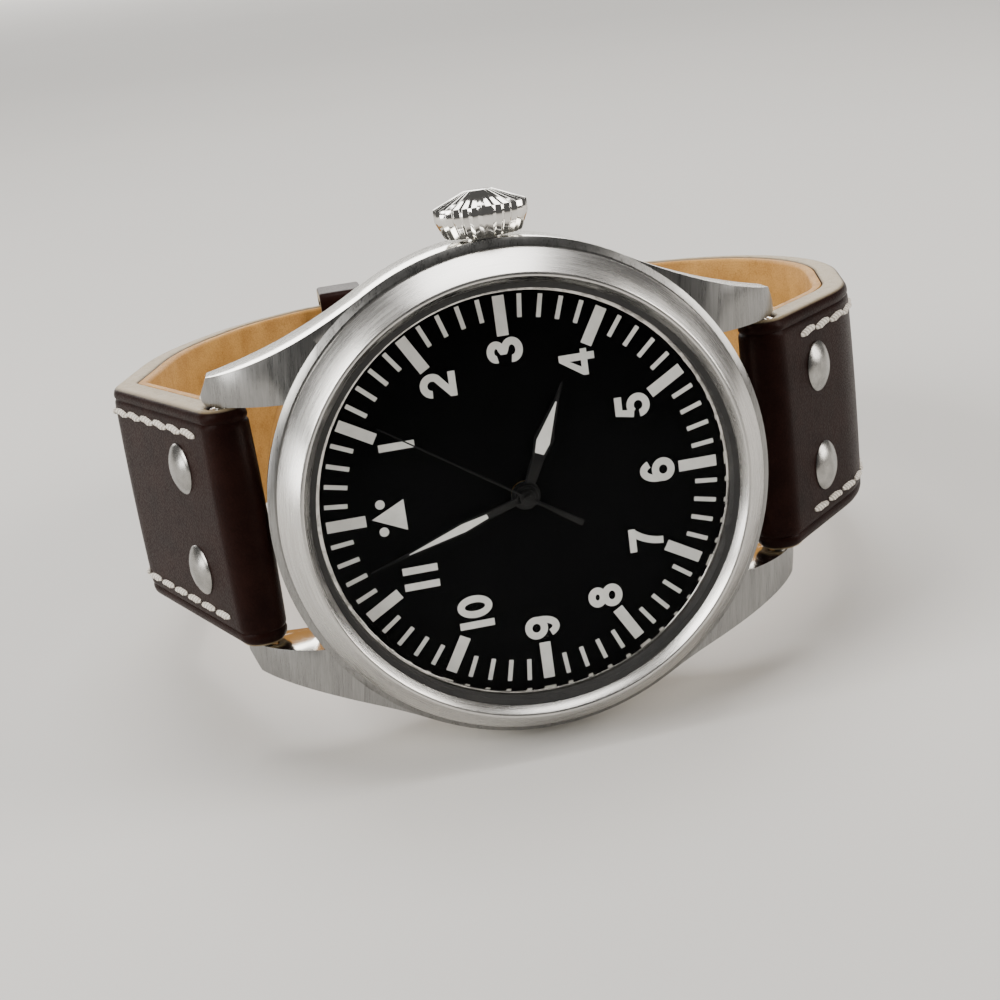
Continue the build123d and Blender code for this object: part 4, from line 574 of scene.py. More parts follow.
def thread(name, dark, light, worn_tone):
    """Waxed cord, with its twist as slanting ridges along the stitch, and painted shade darkening
    the grooves between them.
    """
    tree, shader = begin_material(name)
    wave = add(tree, "ShaderNodeTexWave", wave_type="BANDS", bands_direction="DIAGONAL")
    wave.inputs["Scale"].default_value = 1.15
    wave.inputs["Distortion"].default_value = 0.6
    marks = add(tree, "ShaderNodeUVMap", uv_map="strap").outputs["UV"]
    tree.links.new(marks, wave.inputs["Vector"])
    change = use(tree, SOFT_CHANGE, Vector=watch_place(tree), Scale=0.5)
    # The twist's grooves, low in the same bands as the relief, are darkened as painted shade.
    tone = two_tone(tree, spread(tree, wave.outputs["Fac"], 0.1, 0.8), dark, light)
    wear = math_node(tree, "MULTIPLY", change.outputs["Broad"], 0.45)
    tone = two_tone(tree, wear, tone, worn_tone, "MULTIPLY")
    tree.links.new(tone, shader.inputs["Base Color"])
    shader.inputs["Roughness"].default_value = 0.68
    shader.inputs["Sheen Weight"].default_value = 0.15
    relief(tree, shader, wave.outputs["Fac"], distance=0.12)


# The case's brushed tones are darkened as painted shade, and its polished flank is painted
# cream-white as a painted highlight.
brushed_metal(
    "case_brushed", (0.18, 0.178, 0.172), (0.30, 0.296, 0.286), (0.24, 0.34), turn=8.0,
    depth=0.0012, flank=(0.86, 0.845, 0.79),
)
brushed_metal(
    "bezel_brushed", (0.46, 0.45, 0.43), (0.66, 0.645, 0.62), (0.22, 0.32), around=18.0,
    fineness=10.0, depth=0.0012, flank=(0.66, 0.65, 0.63),
)
brushed_metal(
    "back_brushed", (0.50, 0.49, 0.46), (0.70, 0.68, 0.65), (0.24, 0.40), around=14.0,
    fineness=6.0,
)
brushed_metal(
    "plate_silvered", (0.56, 0.54, 0.49), (0.74, 0.72, 0.66), (0.26, 0.42), around=6.0,
    fineness=5.0,
)
brushed_metal(
    "ground_steel", (0.46, 0.46, 0.48), (0.66, 0.66, 0.68), (0.20, 0.34), around=2.0,
    fineness=12.0,
)
brushed_metal(
    "wheel_gilt", (0.62, 0.46, 0.20), (0.84, 0.68, 0.34), (0.22, 0.36), around=4.0,
    fineness=12.0,
)
satin(
    "polished_steel", (0.60, 0.58, 0.55), (0.70, 0.68, 0.64), (0.07, 0.16), metal=1.0,
    depth=0.0008,
)
satin(
    "worn_steel", (0.50, 0.47, 0.43), (0.72, 0.69, 0.64), (0.16, 0.32), metal=1.0, scale=0.9,
    depth=0.003,
)
satin(
    "crown_steel", (0.64, 0.625, 0.59), (0.74, 0.725, 0.69), (0.05, 0.12), metal=1.0,
    depth=0.0006,
)
satin("rivet_steel", (0.24, 0.235, 0.22), (0.38, 0.37, 0.35), (0.20, 0.34), metal=1.0, scale=0.9)
satin("gasket", (0.020, 0.020, 0.020), (0.035, 0.034, 0.033), (0.55, 0.75), depth=0.006)
satin(
    "print_white", (0.78, 0.78, 0.74), (0.90, 0.90, 0.86), (0.55, 0.72), scale=0.8, depth=0.004,
)
satin(
    "hand_black", (0.0025, 0.0025, 0.0025), (0.005, 0.005, 0.005), (0.30, 0.42), specular=0.22,
)
satin("ring_brass", (0.56, 0.44, 0.24), (0.70, 0.58, 0.34), (0.30, 0.42), metal=1.0)
satin("jewel", (0.38, 0.010, 0.045), (0.60, 0.025, 0.085), (0.06, 0.14), coat=0.6)
glass("crystal", (0.90, 0.93, 0.95))
dial_lacquer("dial_black", (0.0009, 0.0009, 0.0010), (0.0016, 0.0016, 0.0018))
leather(
    "strap_leather", (0.0095, 0.0034, 0.0026), (0.0170, 0.0062, 0.0046), (0.30, 0.44),
    pebble=3.4, depth=0.010, shine=0.030, edge_tone_and_highlight=(0.33, 0.26, 0.165),
)
leather(
    "lining_leather", (0.38, 0.185, 0.045), (0.54, 0.29, 0.080), (0.55, 0.72),
    pebble=3.2, depth=0.012, shine=0.15,
)
thread("thread", (0.56, 0.51, 0.44), (0.90, 0.87, 0.80), worn_tone=(0.75, 0.62, 0.48))


def dress(material, *nodes):
    for node in nodes:
        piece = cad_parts[node]
        piece.data.materials.clear()
        piece.data.materials.append(MATERIALS[material])


# Camera, floor and light. The camera's place and directions are in the watch's own axes.
LENS = 51.984
CAMERA_PLACE = (30.35098894, 15.78253053, 108.43561562)
CAMERA_RIGHT = (-0.13501, -0.977464, 0.162284)
CAMERA_DOWN = (-0.953623, 0.172653, 0.246565)
CAMERA_FORWARD = (-0.269027, -0.121469, -0.955442)
NEAREST = 0.005
FLOOR_SIZE = 12.0
FLOOR_DARK = (0.60, 0.585, 0.56)
FLOOR_LIGHT = (0.66, 0.645, 0.62)
FAR_GLOW = (0.54, 0.53, 0.52)
FAR_FIELD = (0.5, 2.2)
NO_GLOW = (0.0, 0.0, 0.0)
ROOM_TONE = (0.60, 0.59, 0.58, 1)
ROOM_STRENGTH = 0.20
WALL_STRENGTH = 0.95
AIM = (0.0, -0.02, 0.02)
LIGHTS = (
    ("window", (-0.46, -0.16, 0.34), AIM, (0.30, 0.30), 3.4, (1.0, 0.98, 0.95)),
    ("side", (0.50, -0.10, 0.26), AIM, (0.24, 0.36), 2.6, (1.0, 0.96, 0.91)),
    ("behind", (0.0, 1.90, 0.44), (0.0, 0.0, 0.05), (2.70, 0.72), 40.0, (1.0, 0.98, 0.94)),
    ("above", (0.02, 0.12, 0.60), AIM, (0.40, 0.34), 3.4, (1.0, 0.98, 0.96)),
    ("left", (-0.60, -0.04, 0.08), AIM, (0.20, 0.14), 0.9, (1.0, 0.99, 0.97)),
)


def frame_direction(three, twelve, out):
    return (TO_THREE * three + TO_TWELVE * twelve + OUT * out).normalized()


def place_camera():
    data = bpy.data.cameras.new("camera")
    data.lens = LENS
    data.clip_start = NEAREST
    camera = new_object("camera", data)
    right = frame_direction(*CAMERA_RIGHT)
    down = frame_direction(*CAMERA_DOWN)
    forward = frame_direction(*CAMERA_FORWARD)
    matrix = Matrix.Identity(4)
    for column, axis in enumerate((right, -down, -forward)):
        for row in range(3):
            matrix[row][column] = axis[row]
    matrix.translation = WATCH @ Vector(CAMERA_PLACE)
    camera.matrix_world = matrix
    bpy.context.scene.camera = camera


def place_floor():
    """Pale paper with a painted glow that grows far off, seen by the eye alone."""
    leave_all()
    bpy.ops.mesh.primitive_plane_add(size=FLOOR_SIZE, location=(0, 0, 0))
    floor = bpy.context.object
    floor.name = "floor"
    tree, shader = begin_material("floor_paper")
    place = add(tree, "ShaderNodeTexCoord").outputs["Object"]
    tone = two_tone(tree, noise(tree, place, scale=6.0), FLOOR_DARK, FLOOR_LIGHT)
    tree.links.new(tone, shader.inputs["Base Color"])
    shader.inputs["Roughness"].default_value = 0.85
    away = add(tree, "ShaderNodeVectorMath", operation="LENGTH")
    tree.links.new(place, away.inputs[0])
    # A painted glow, for camera rays only, brightens the floor far off.
    far = spread(tree, away.outputs["Value"], *FAR_FIELD)
    eye = add(tree, "ShaderNodeLightPath").outputs["Is Camera Ray"]
    glow = two_tone(tree, math_node(tree, "MULTIPLY", far, eye), NO_GLOW, FAR_GLOW)
    tree.links.new(glow, shader.inputs["Emission Color"])
    shader.inputs["Emission Strength"].default_value = 1.0
    floor.data.materials.append(MATERIALS["floor_paper"])


def place_light(name, place, aim, size, power, tint):
    data = bpy.data.lights.new(name, "AREA")
    data.shape = "RECTANGLE"
    data.size, data.size_y = size
    data.energy = power
    data.color = tint
    light = new_object(name, data)
    light.location = place
    light.rotation_euler = (Vector(aim) - Vector(place)).to_track_quat("-Z", "Y").to_euler()


def place_room():
    """A dim room for the reflections, and a pale wall for the eye."""
    world = bpy.data.worlds.new("room")
    world.use_nodes = True
    tree = world.node_tree
    room = tree.nodes["Background"]
    wall = add(tree, "ShaderNodeBackground")
    for node, strength in ((room, ROOM_STRENGTH), (wall, WALL_STRENGTH)):
        node.inputs["Color"].default_value = ROOM_TONE
        node.inputs["Strength"].default_value = strength
    eye = add(tree, "ShaderNodeLightPath").outputs["Is Camera Ray"]
    shown = add(tree, "ShaderNodeMixShader")
    for place, value in enumerate((eye, room.outputs[0], wall.outputs[0])):
        tree.links.new(value, shown.inputs[place])
    tree.links.new(shown.outputs[0], tree.nodes["World Output"].inputs["Surface"])
    bpy.context.scene.world = world


place_camera()
place_floor()
for light_row in LIGHTS:
    place_light(*light_row)
place_room()


# Turned pieces: bezel, inner flange and crystal, with their outlines as (radius, height)
BEZEL_OUTLINE = (
    (16.8, 0.45), (16.8, 2.40), (17.35, 3.25), (17.60, 3.25), (19.3, 1.07), (19.3, 0.45),
)
FLANGE_OUTLINE = ((16.1, 0.0), (16.8, 0.0), (16.8, 1.30), (16.1, 1.30))
CRYSTAL_RADIUS = 16.4
CRYSTAL_UNDERSIDE = 1.30
CRYSTAL_RIM = 2.35
CRYSTAL_RISE = 0.80
CRYSTAL_STEPS = 22
UNDERSIDE_STEPS = 8


def make_bezel():
    piece = turned(BEZEL_OUTLINE, steps=192, edge=0.09)
    mark_polish(piece, lambda face: math.hypot(face.center.x, face.center.y) < INNER_WALL)
    into_frame(piece)
    settle(piece, "bezel_turned", "case", "bezel_brushed", "bezel")


def make_flange():
    piece = turned(FLANGE_OUTLINE, edge=0.06)
    into_frame(piece)
    settle(piece, "inner_flange_turned", "case", "polished_steel", "inner_flange")


def make_crystal():
    """A flat underside, and a low dome on an upright rim."""
    curve = (CRYSTAL_RADIUS ** 2 + CRYSTAL_RISE ** 2) / (2 * CRYSTAL_RISE)
    outline = [
        (CRYSTAL_RADIUS * n / UNDERSIDE_STEPS, CRYSTAL_UNDERSIDE)
        for n in range(UNDERSIDE_STEPS + 1)
    ]
    for n in range(CRYSTAL_STEPS):
        radius = CRYSTAL_RADIUS * (1 - n / CRYSTAL_STEPS)
        dome = math.sqrt(curve ** 2 - radius ** 2)
        outline.append((radius, CRYSTAL_RIM + CRYSTAL_RISE - curve + dome))
    outline.append((0.0, CRYSTAL_RIM + CRYSTAL_RISE))
    piece = turned(outline, steps=128, closed=False)
    into_frame(piece)
    settle(piece, "crystal_domed", "case", "crystal", "crystal")


# Copies of solids, each with its body, material, and the width and steps of its rounded edges
SOFTENED = (
    ("case_middle", "case", "case_brushed", 0.16, 3),
    ("case_back", "case", "back_brushed", 0.10, 2),
    ("crown", "crown", "crown_steel", 0.025, 1),
    ("buckle_frame", "buckle", "worn_steel", 0.28, 3),
    ("buckle_tongue", "tongue", "worn_steel", 0.25, 3),
    ("hour_hand", "hours", "hand_black", 0.035, 2),
    ("minute_hand", "minutes", "hand_black", 0.03, 2),
    ("seconds_hand", "seconds", "hand_black", 0.02, 2),
)


def make_softened():
    for node, body, material, width, segments in SOFTENED:
        piece = from_solid(node, width, segments)
        if node == "case_middle":
            mark_polish(piece, lambda face: abs(face.normal.dot(OUT)) < SIDEWAYS)
        settle(piece, node + "_finished", body, material, node)


# The strap's course. Here v is across the strap, u towards twelve and w out of the dial.
COURSE_STEP = 0.7
LEAST_STEP = 0.05
LEAST_BEND_STEPS = 3


def between(first, second, share):
    return tuple(a + (b - a) * share for a, b in zip(first, second))


def course(sense, bends, rounds, depths):
    """Points along the outer face: (distance, u, w, heading, depth), starting at the roll."""
    bar_u, bar_w = sense * SPRING_BAR[0], SPRING_BAR[1]
    first = bends[0]
    reach = math.hypot(first[0] - bar_u, first[1] - bar_w)
    tangent = sense * math.asin(ROLL_RADIUS / reach)
    out = math.atan2(first[1] - bar_w, first[0] - bar_u) - tangent + sense * math.pi / 2
    start = (bar_u + ROLL_RADIUS * math.cos(out), bar_w + ROLL_RADIUS * math.sin(out))
    corners = [start, *bends]
    points = []

    def note(u, w, heading, depth):
        step = math.hypot(u - points[-1][1], w - points[-1][2]) if points else 0.0
        if not points or step >= LEAST_STEP:
            distance = points[-1][0] + step if points else 0.0
            points.append((distance, u, w, heading, depth))

    def straight(begin, end, heading, depth):
        count = max(1, round(math.dist(begin, end) / COURSE_STEP))
        for n in range(count + 1):
            note(*between(begin, end, n / count), heading, depth)

    place = start
    for n in range(1, len(corners)):
        before, corner = corners[n - 1], corners[n]
        heading = math.atan2(corner[1] - before[1], corner[0] - before[0])
        if n == len(corners) - 1:
            straight(place, corner, heading, depths[n - 1])
            break
        after = corners[n + 1]
        next_heading = math.atan2(after[1] - corner[1], after[0] - corner[0])
        bend = (next_heading - heading + math.pi) % (2 * math.pi) - math.pi
        radius = rounds[n - 1]
        run = radius * math.tan(abs(bend) / 2)
        leave = (corner[0] - run * math.cos(heading), corner[1] - run * math.sin(heading))
        straight(place, leave, heading, depths[n - 1])
        side = math.copysign(math.pi / 2, bend)
        centre_u = leave[0] + radius * math.cos(heading + side)
        centre_w = leave[1] + radius * math.sin(heading + side)
        count = max(LEAST_BEND_STEPS, math.ceil(radius * abs(bend) / COURSE_STEP))
        for k in range(1, count + 1):
            angle = heading + bend * k / count
            u = centre_u - radius * math.cos(angle + side)
            w = centre_w - radius * math.sin(angle + side)
            note(u, w, angle, depths[n - 1] + (depths[n] - depths[n - 1]) * k / count)
        place = (
            corner[0] + run * math.cos(next_heading), corner[1] + run * math.sin(next_heading),
        )
    return points


def at_distance(points, distance):
    """The course's place at a distance: (u, w, heading)."""
    for before, after in zip(points, points[1:]):
        if after[0] >= distance:
            share = (distance - before[0]) / (after[0] - before[0])
            return between(before[1:4], after[1:4], share)
    return points[-1][1:4]


def outward(heading, sense):
    return math.cos(heading + sense * math.pi / 2), math.sin(heading + sense * math.pi / 2)


# A strip's section, as (across, drop): the outer face's edge with the groove for its stitches, its
# middle, and the underside's corner as (in from the side, up from the underside)
OUTER_EDGE = (
    (8.30, 0.0), (8.52, 0.01), (8.66, 0.07), (8.76, 0.13), (8.86, 0.07), (9.00, 0.01),
    (9.22, 0.02), (9.48, 0.09), (9.68, 0.24), (9.80, 0.44), (STRAP_HALF, 0.72),
)
LINING_EDGE = ((9.40, 0.0), (9.62, 0.03), (9.74, 0.12), (9.75, 0.25))
OUTER_MIDDLE = (-6.6, -4.4, -2.2, 0.0, 2.2, 4.4, 6.6)
UNDERSIDE_CORNER = ((0.0, 0.22), (0.10, 0.07), (0.30, 0.0))
UNDERSIDE = (6.6, 3.3, 0.0, -3.3, -6.6)
STRAP_CROWN = 0.14
MOST_FALL_SHARE = 0.45
LEAST_SIDE_SHARE = 0.5

# The leather's roll round the spring bar, and where the leather then grows to its full depth
ROLL_TURN = math.radians(236)
ROLL_STEPS = 30
ROLL_HALF = STRAP_HALF - 0.03
ROLL_END = 0.98
GROWTH = 1.4


def ribbon(name, stations, half, edge, crown):
    """Lofts a strip across v from stations (distance, u, w, outward u, outward w, depth, half)."""
    outer = [(-v, drop) for v, drop in reversed(edge)]
    outer += [(v, 0.0) for v in OUTER_MIDDLE] + list(edge)
    points, marks = [], []
    for distance, u, w, out_u, out_w, depth, station_half in stations:
        scale = station_half / half
        side = half * scale
        ring = [
            (v * scale, min(drop + crown * (v / half) ** 2, depth * MOST_FALL_SHARE))
            for v, drop in outer
        ]
        under = [(side - inset, depth - rise) for inset, rise in UNDERSIDE_CORNER]
        under += [(v * scale, depth) for v in UNDERSIDE]
        under += [(inset - side, depth - rise) for inset, rise in reversed(UNDERSIDE_CORNER)]
        least = min(ring[-1][1], depth * LEAST_SIDE_SHARE)
        ring += [(v, max(fall, least)) for v, fall in under]
        for v, fall in ring:
            points.append((v, u - out_u * fall, w - out_w * fall))
            marks.append((distance, v))
    count = len(points) // len(stations)
    faces = loft_faces(len(stations), count)
    faces.append(tuple(range(count - 1, -1, -1)))
    faces.append(tuple(range(len(points) - count, len(points))))
    return built(name, points, faces, marks)


def wrapped_stations(sense, points):
    """Leather round the spring bar and then along the course, with its depth."""
    bar_u, bar_w = sense * SPRING_BAR[0], SPRING_BAR[1]
    start_out = points[0][3] + sense * math.pi / 2
    stations = []
    for n in range(ROLL_STEPS, 0, -1):
        back = ROLL_TURN * n / ROLL_STEPS
        out_u, out_w = math.cos(start_out + sense * back), math.sin(start_out + sense * back)
        u, w = bar_u + ROLL_RADIUS * out_u, bar_w + ROLL_RADIUS * out_w
        stations.append((-ROLL_RADIUS * back, u, w, out_u, out_w, ROLL_WALL, ROLL_HALF))
    for distance, u, w, heading, depth in points:
        share = min(1.0, max(0.0, (distance - ROLL_END) / GROWTH))
        thick = ROLL_WALL + (depth - LINING - ROLL_WALL) * share
        stations.append((distance, u, w, *outward(heading, sense), thick, STRAP_HALF))
    return stations


def drill(piece, cutters):
    """Cuts holes through a piece with cutters that are then removed."""
    for cutter in cutters:
        cut = piece.modifiers.new("hole", "BOOLEAN")
        cut.operation = "DIFFERENCE"
        cut.solver = "EXACT"
        cut.object = cutter
        take(piece)
        bpy.ops.object.modifier_apply(modifier=cut.name)
    for cutter in cutters:
        bpy.data.objects.remove(cutter)


def round_cutter(u, w, out_u, out_w, radius):
    """A round punch through the strap at (u, w), along its outward direction."""
    leave_all()
    bpy.ops.mesh.primitive_cylinder_add(
        vertices=32, radius=radius, depth=PUNCH_LENGTH, location=(0.0, u, w),
        rotation=Vector((0.0, out_u, out_w)).to_track_quat("Z", "X").to_euler(),
    )
    return bpy.context.object


def block_cutter(three, low, high):
    """A square punch from -three to +three, between two (u, w) corners."""
    leave_all()
    bpy.ops.mesh.primitive_cube_add(
        size=1.0, location=(0.0, (low[0] + high[0]) / 2, (low[1] + high[1]) / 2),
        scale=(2 * three, abs(high[0] - low[0]), abs(high[1] - low[1])),
    )
    return bpy.context.object


def lining_stations(sense, points, first, last):
    stations = []
    for distance, u, w, heading, depth in points:
        if first <= distance <= last:
            out_u, out_w = outward(heading, sense)
            inset = depth - LINING + LINING_GAP
            u, w = u - out_u * inset, w - out_w * inset
            stations.append((distance, u, w, out_u, out_w, LINING - LINING_GAP, LINING_HALF))
    return stations


def near_tail(stations, last, tip):
    """Narrows the stations near the end of the long strap to the half width of its tip."""
    rows = []
    for *place, half in stations:
        left = last - place[0]
        if left < TAIL_LENGTH:
            share = max(0.0, left / TAIL_LENGTH)
            half = tip + (STRAP_HALF - TAIL_HALF) * math.sin(share * math.pi / 2) ** TAIL_POWER
        rows.append((*place, half))
    return rows


# The straps. Distances are from the roll, or back from the end, and the notch is between two
# corners (u, w).
LINING_START = 2.9
LINING_END = 0.9
LAST_U = -1.4
NOTCH_HALF = 1.5
NOTCH = ((-6.4, -61.5), (0.4, -54.0))
BUCKLE_ROLL_OUTLINE = (
    (0.95, -9.80), (1.75, -9.80), (1.98, -9.60), (1.98, 9.60), (1.75, 9.80), (0.95, 9.80),
)
TAIL_LENGTH = 6.0
TAIL_HALF = 4.5
LINING_TAIL_HALF = 4.4
TAIL_POWER = 0.85
HOLES = 4
HOLE_PITCH = 6.5
HOLE_START = -1.8
HOLE_RADIUS = 1.0
PUNCH_LENGTH = 8.0
TONGUE_HOLE = (-5.4, -62.0)
TONGUE_HOLE_RADIUS = 1.4
TONGUE_HOLE_STRETCH = 0.5
STRAP_SMOOTH = 38


def make_short_strap():
    points = course(1, SHORT_BENDS, SHORT_ROUNDS, SHORT_DEPTHS)
    end = max(point[0] for point in points if point[1] > LAST_U)
    stations = [station for station in wrapped_stations(1, points) if station[0] <= end]
    body = ribbon("strap_short_body", stations, STRAP_HALF, OUTER_EDGE, STRAP_CROWN)
    roll = turned(BUCKLE_ROLL_OUTLINE, steps=40)
    corners = [vertex.co for vertex in roll.data.vertices]
    mark_strap(roll.data, [(end + math.atan2(co.y, co.x), co.z) for co in corners])
    across = Matrix.Rotation(math.radians(90), 4, "Y")
    roll.data.transform(Matrix.Translation((0.0, *BUCKLE_BAR)) @ across)
    for sheet in (body, roll):
        drill(sheet, [block_cutter(NOTCH_HALF, *NOTCH)])
    piece = joined([body, roll])
    smooth(piece, STRAP_SMOOTH)
    into_frame(piece)
    settle(piece, "strap_short_leather", "case", "strap_leather", "strap_short")
    rows = lining_stations(1, points, LINING_START, end - LINING_END)
    lining = ribbon("lining_short", rows, LINING_HALF, LINING_EDGE, 0.0)
    smooth(lining, STRAP_SMOOTH)
    return points, lining


def make_long_strap():
    points = course(-1, LONG_BENDS, LONG_ROUNDS, LONG_DEPTHS)
    last = points[-1][0]
    stations = near_tail(wrapped_stations(-1, points), last, TAIL_HALF)
    body = ribbon("strap_long_body", stations, STRAP_HALF, OUTER_EDGE, STRAP_CROWN)
    rows = near_tail(lining_stations(-1, points, LINING_START, last), last, LINING_TAIL_HALF)
    lining = ribbon("lining_long", rows, LINING_HALF, LINING_EDGE, 0.0)
    corner, before = LONG_BENDS[-2], LONG_BENDS[-3]
    slant = math.atan2(before[1] - corner[1], before[0] - corner[0])
    for sheet in (body, lining):
        cutters = []
        for n in range(1, HOLES + 1):
            along = HOLE_PITCH * n + HOLE_START
            cutters.append(round_cutter(
                corner[0] + along * math.cos(slant), corner[1] + along * math.sin(slant),
                *outward(slant, 1), HOLE_RADIUS,
            ))
        drill(sheet, cutters)
        leave_all()
        bpy.ops.mesh.primitive_cylinder_add(
            vertices=32, radius=TONGUE_HOLE_RADIUS, depth=PUNCH_LENGTH, location=(0, *TONGUE_HOLE),
        )
        punch = bpy.context.object
        for vertex in punch.data.vertices:
            vertex.co.y += math.copysign(TONGUE_HOLE_STRETCH, vertex.co.y)
        drill(sheet, [punch])
    smooth(body, STRAP_SMOOTH)
    into_frame(body)
    settle(body, "strap_long_leather", "case", "strap_leather", "strap_long")
    smooth(lining, STRAP_SMOOTH)
    return points, lining


# The stitches, the rivets and the keepers. Places are across the strap and along its course.
STITCH_LENGTH = 2.9
STITCH_RADIUS = 0.35
STITCH_FLAT_SHARE = 0.9
STITCH_SINK = 0.16
STITCH_LEVELS = (0.0, -1.25, -0.95, -0.5, 0.5, 0.95, 1.25)
STITCH_TAPER = 1.52
LEAST_TAPER = 0.05
STITCH_SLANT = 0.07
TWIST_HEIGHT = 0.16
TWIST_TURN = 3.1
STITCH_PITCH = 3.15
STITCH_ROWS = (-7.75, 7.75)
SHORT_STITCHES = (3.0, 4.0)
LONG_STITCHES = (4.5, 7.5)
RIVET_OUTLINE = (
    (0.0, -0.35), (2.02, -0.35), (2.15, -0.25), (2.15, 0.04), (2.06, 0.14), (1.86, 0.26),
    (1.50, 0.44), (1.02, 0.61), (0.52, 0.715), (0.0, 0.75),
)
RIVET_ACROSS = (-4.4, 4.4)
SHORT_RIVETS = 6.0
LONG_RIVETS = 5.9
KEEPER_HALF = 10.2
KEEPER_WALL = 1.2
KEEPER_OUTSIDE = -63.35
KEEPER_CORNER = 1.1
KEEPER_ROUND = 0.30
KEEPER_FACET = 0.09
KEEPER_INNER_ROUND = 0.25
CORNER_STEPS = 6
LONGEST_GAP = 1.5


def make_stitch():
    """One stitch of twisted cord along x, with few faces."""
    leave_all()
    bpy.ops.mesh.primitive_cylinder_add(
        vertices=8, radius=STITCH_RADIUS, depth=STITCH_LENGTH, end_fill_type="NOTHING",
    )
    stitch = bpy.context.object
    edit_all(stitch)
    for level in STITCH_LEVELS:
        bpy.ops.mesh.select_all(action="SELECT")
        bpy.ops.mesh.bisect(plane_co=(0, 0, level), plane_no=(0, 0, 1))
    bpy.ops.object.mode_set(mode="OBJECT")
    for vertex in stitch.data.vertices:
        x, y, along = vertex.co
        angle = math.atan2(y, x)
        taper = math.sqrt(max(LEAST_TAPER, 1 - (abs(along) / STITCH_TAPER) ** 4))
        twist = 1 + TWIST_HEIGHT * math.cos(2 * angle - TWIST_TURN * along)
        radius = STITCH_RADIUS * taper * twist
        height = radius * math.sin(angle) * STITCH_FLAT_SHARE
        vertex.co = (along, radius * math.cos(angle), height)
    return stitch


def stitch_rows(name, points, sense, first, last):
    """Copies the stitch along its rows, half sunk in the outer face."""
    pattern = make_stitch()
    coordinates = np.array([vertex.co for vertex in pattern.data.vertices])
    pattern_faces = [tuple(polygon.vertices) for polygon in pattern.data.polygons]
    bpy.data.objects.remove(pattern)
    places, faces, marks = [], [], []
    count = int((last - first) / STITCH_PITCH)
    for row in STITCH_ROWS:
        lean = math.copysign(STITCH_SLANT, row)
        for n in range(count + 1):
            u, w, heading = at_distance(points, first + STITCH_PITCH * n)
            out_u, out_w = outward(heading, sense)
            base = len(places)
            for x, y, z in coordinates:
                lift = z - STITCH_SINK
                places.append((
                    row + y + x * lean,
                    u + x * math.cos(heading) + out_u * lift,
                    w + x * math.sin(heading) + out_w * lift,
                ))
                marks.append((x, y))
            faces += [tuple(base + i for i in face) for face in pattern_faces]
    piece = built(name, places, faces, marks, hole_sides=8)
    smooth(piece, degrees=60)
    return piece


def make_stitching(short_points, long_points):
    short_first, short_edge = SHORT_STITCHES
    long_first, long_left = LONG_STITCHES
    short_last = max(point[0] for point in short_points if point[1] > short_edge)
    long_last = long_points[-1][0] - long_left
    piece = joined([
        stitch_rows("stitches_short", short_points, 1, short_first, short_last),
        stitch_rows("stitches_long", long_points, -1, long_first, long_last),
    ])
    into_frame(piece)
    settle(piece, "stitching", "case", "thread")


def make_rivets(short_points, long_points):
    heads = []
    for points, sense, reach in ((short_points, 1, SHORT_RIVETS), (long_points, -1, LONG_RIVETS)):
        u, w, heading = at_distance(points, reach)
        upright = Vector((0.0, *outward(heading, sense))).to_track_quat("Z", "X")
        for across in RIVET_ACROSS:
            head = turned(RIVET_OUTLINE, steps=40, closed=False)
            place = Matrix.Translation((across, u, w))
            head.data.transform(place @ upright.to_matrix().to_4x4())
            heads.append(head)
    piece = joined(heads)
    into_frame(piece)
    settle(piece, "rivet_heads", "case", "rivet_steel", "rivets")


def keeper_path(inner_level):
    """Points round the keeper's outer face: (v, w, outward v, outward w)."""
    side = KEEPER_HALF + KEEPER_WALL - KEEPER_CORNER
    top = inner_level + KEEPER_WALL - KEEPER_CORNER
    bottom = KEEPER_OUTSIDE - KEEPER_WALL + KEEPER_CORNER
    corners = []
    for centre_v, centre_w, begin in (
        (side, top, 90), (side, bottom, 0), (-side, bottom, -90), (-side, top, -180),
    ):
        for n in range(CORNER_STEPS + 1):
            angle = math.radians(begin - 90 * n / CORNER_STEPS)
            out_v, out_w = math.cos(angle), math.sin(angle)
            v, w = centre_v + KEEPER_CORNER * out_v, centre_w + KEEPER_CORNER * out_w
            corners.append((v, w, out_v, out_w))
    path = []
    for place, following in zip(corners, corners[1:] + corners[:1]):
        path.append(place)
        gap = math.dist(place[:2], following[:2])
        if gap > LONGEST_GAP:
            count = int(gap)
            path += [between(place, following, n / count) for n in range(1, count)]
    return path


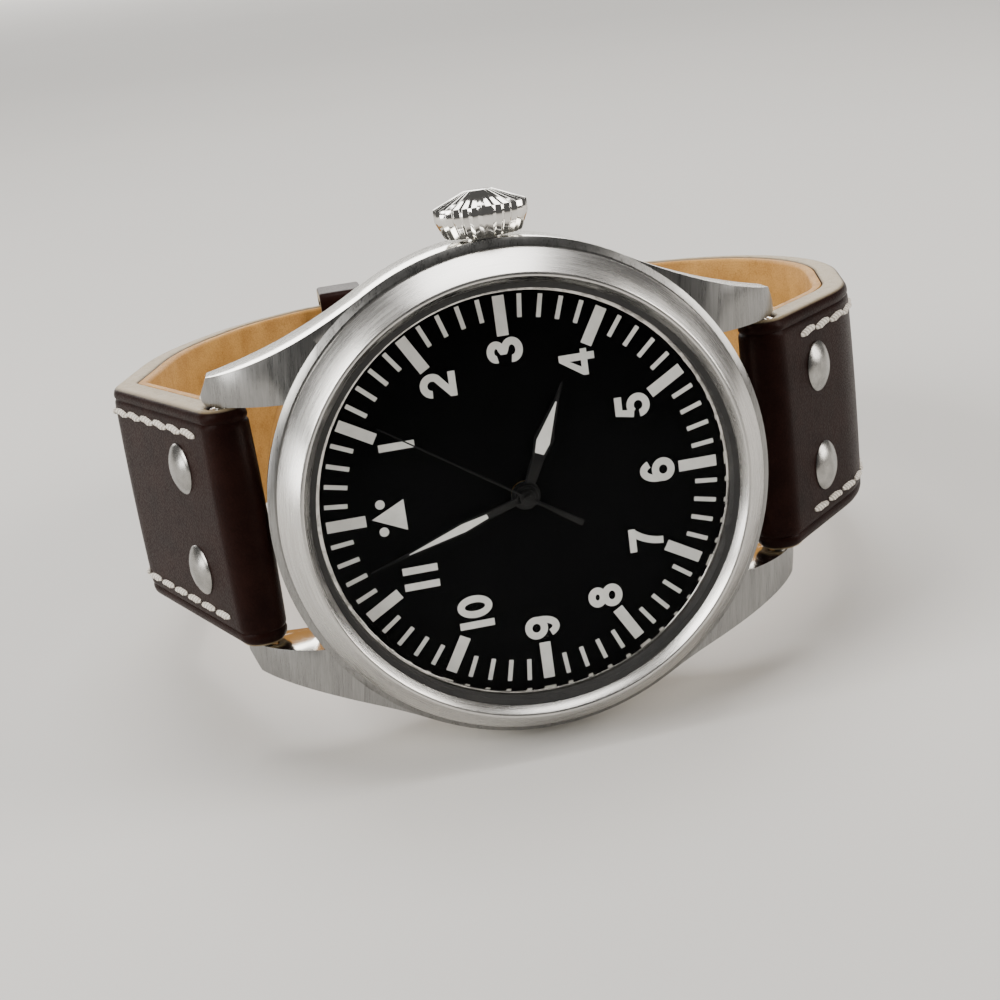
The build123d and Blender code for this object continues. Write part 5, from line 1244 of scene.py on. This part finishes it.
def make_keeper(name, node, body, near, width, inner_level):
    """A closed leather loop round both straps, with softened edges."""
    wall, outer, facet, inner = KEEPER_WALL, KEEPER_ROUND, KEEPER_FACET, KEEPER_INNER_ROUND
    section = (
        (outer, 0.0), (width - outer, 0.0), (width - facet, facet), (width, outer),
        (width, wall - inner), (width - inner, wall), (inner, wall), (0.0, wall - inner),
        (0.0, outer), (facet, facet),
    )
    path = keeper_path(inner_level)
    points, marks = [], []
    run = 0.0
    for index, (v, w, out_v, out_w) in enumerate(path):
        if index:
            run += math.dist((v, w), path[index - 1][:2])
        for along, depth in section:
            points.append((v - out_v * depth, near + along, w - out_w * depth))
            marks.append((run, (along - width / 2) * 2 * STRAP_HALF / width))
    faces = loft_faces(len(path), len(section), closed=True)
    piece = built(name, points, faces, marks)
    smooth(piece, degrees=40)
    into_frame(piece)
    settle(piece, name, body, "strap_leather", node)


make_bezel()
make_flange()
make_crystal()
make_softened()
short_course, short_lining = make_short_strap()
long_course, long_lining = make_long_strap()
lining_piece = joined([short_lining, long_lining])
into_frame(lining_piece)
settle(lining_piece, "strap_lining_leather", "case", "lining_leather", "strap_lining")
make_stitching(short_course, long_course)
make_rivets(short_course, long_course)
make_keeper(
    "fixed_keeper_loop", "fixed_keeper", "case", near=0.7, width=4.5, inner_level=-57.2,
)
make_keeper(
    "free_keeper_loop", "free_keeper", "free_keeper", near=7.0, width=5.0, inner_level=-57.0,
)

dress("gasket", "crystal_gasket", "case_back_gasket", "crown_gasket")
dress(
    "polished_steel", "crown_tube", "buckle_bar", "spring_bars", "winding_stem",
    "bar_tip_12_crown", "bar_tip_12_far", "bar_tip_6_crown", "bar_tip_6_far",
)
dress("dial_black", "dial")
dress("print_white", "dial_print", "hour_fill", "minute_fill")
dress("ring_brass", "movement_ring")
dress(
    "plate_silvered", "main_plate", "barrel_bridge", "train_bridge", "pallet_bridge",
    "balance_cock",
)
dress(
    "ground_steel", "movement_screws", "winding_pinion", "sliding_pinion", "barrel_arbor",
    "ratchet_wheel", "crown_wheel", "click", "mainspring", "hairspring", "pallet_fork",
    "escape_wheel", "cannon_pinion",
)
dress(
    "wheel_gilt", "barrel", "great_wheel", "third_wheel", "seconds_wheel", "balance_wheel",
    "minute_wheel", "hour_wheel", "setting_wheel",
)
dress("jewel", "jewels")
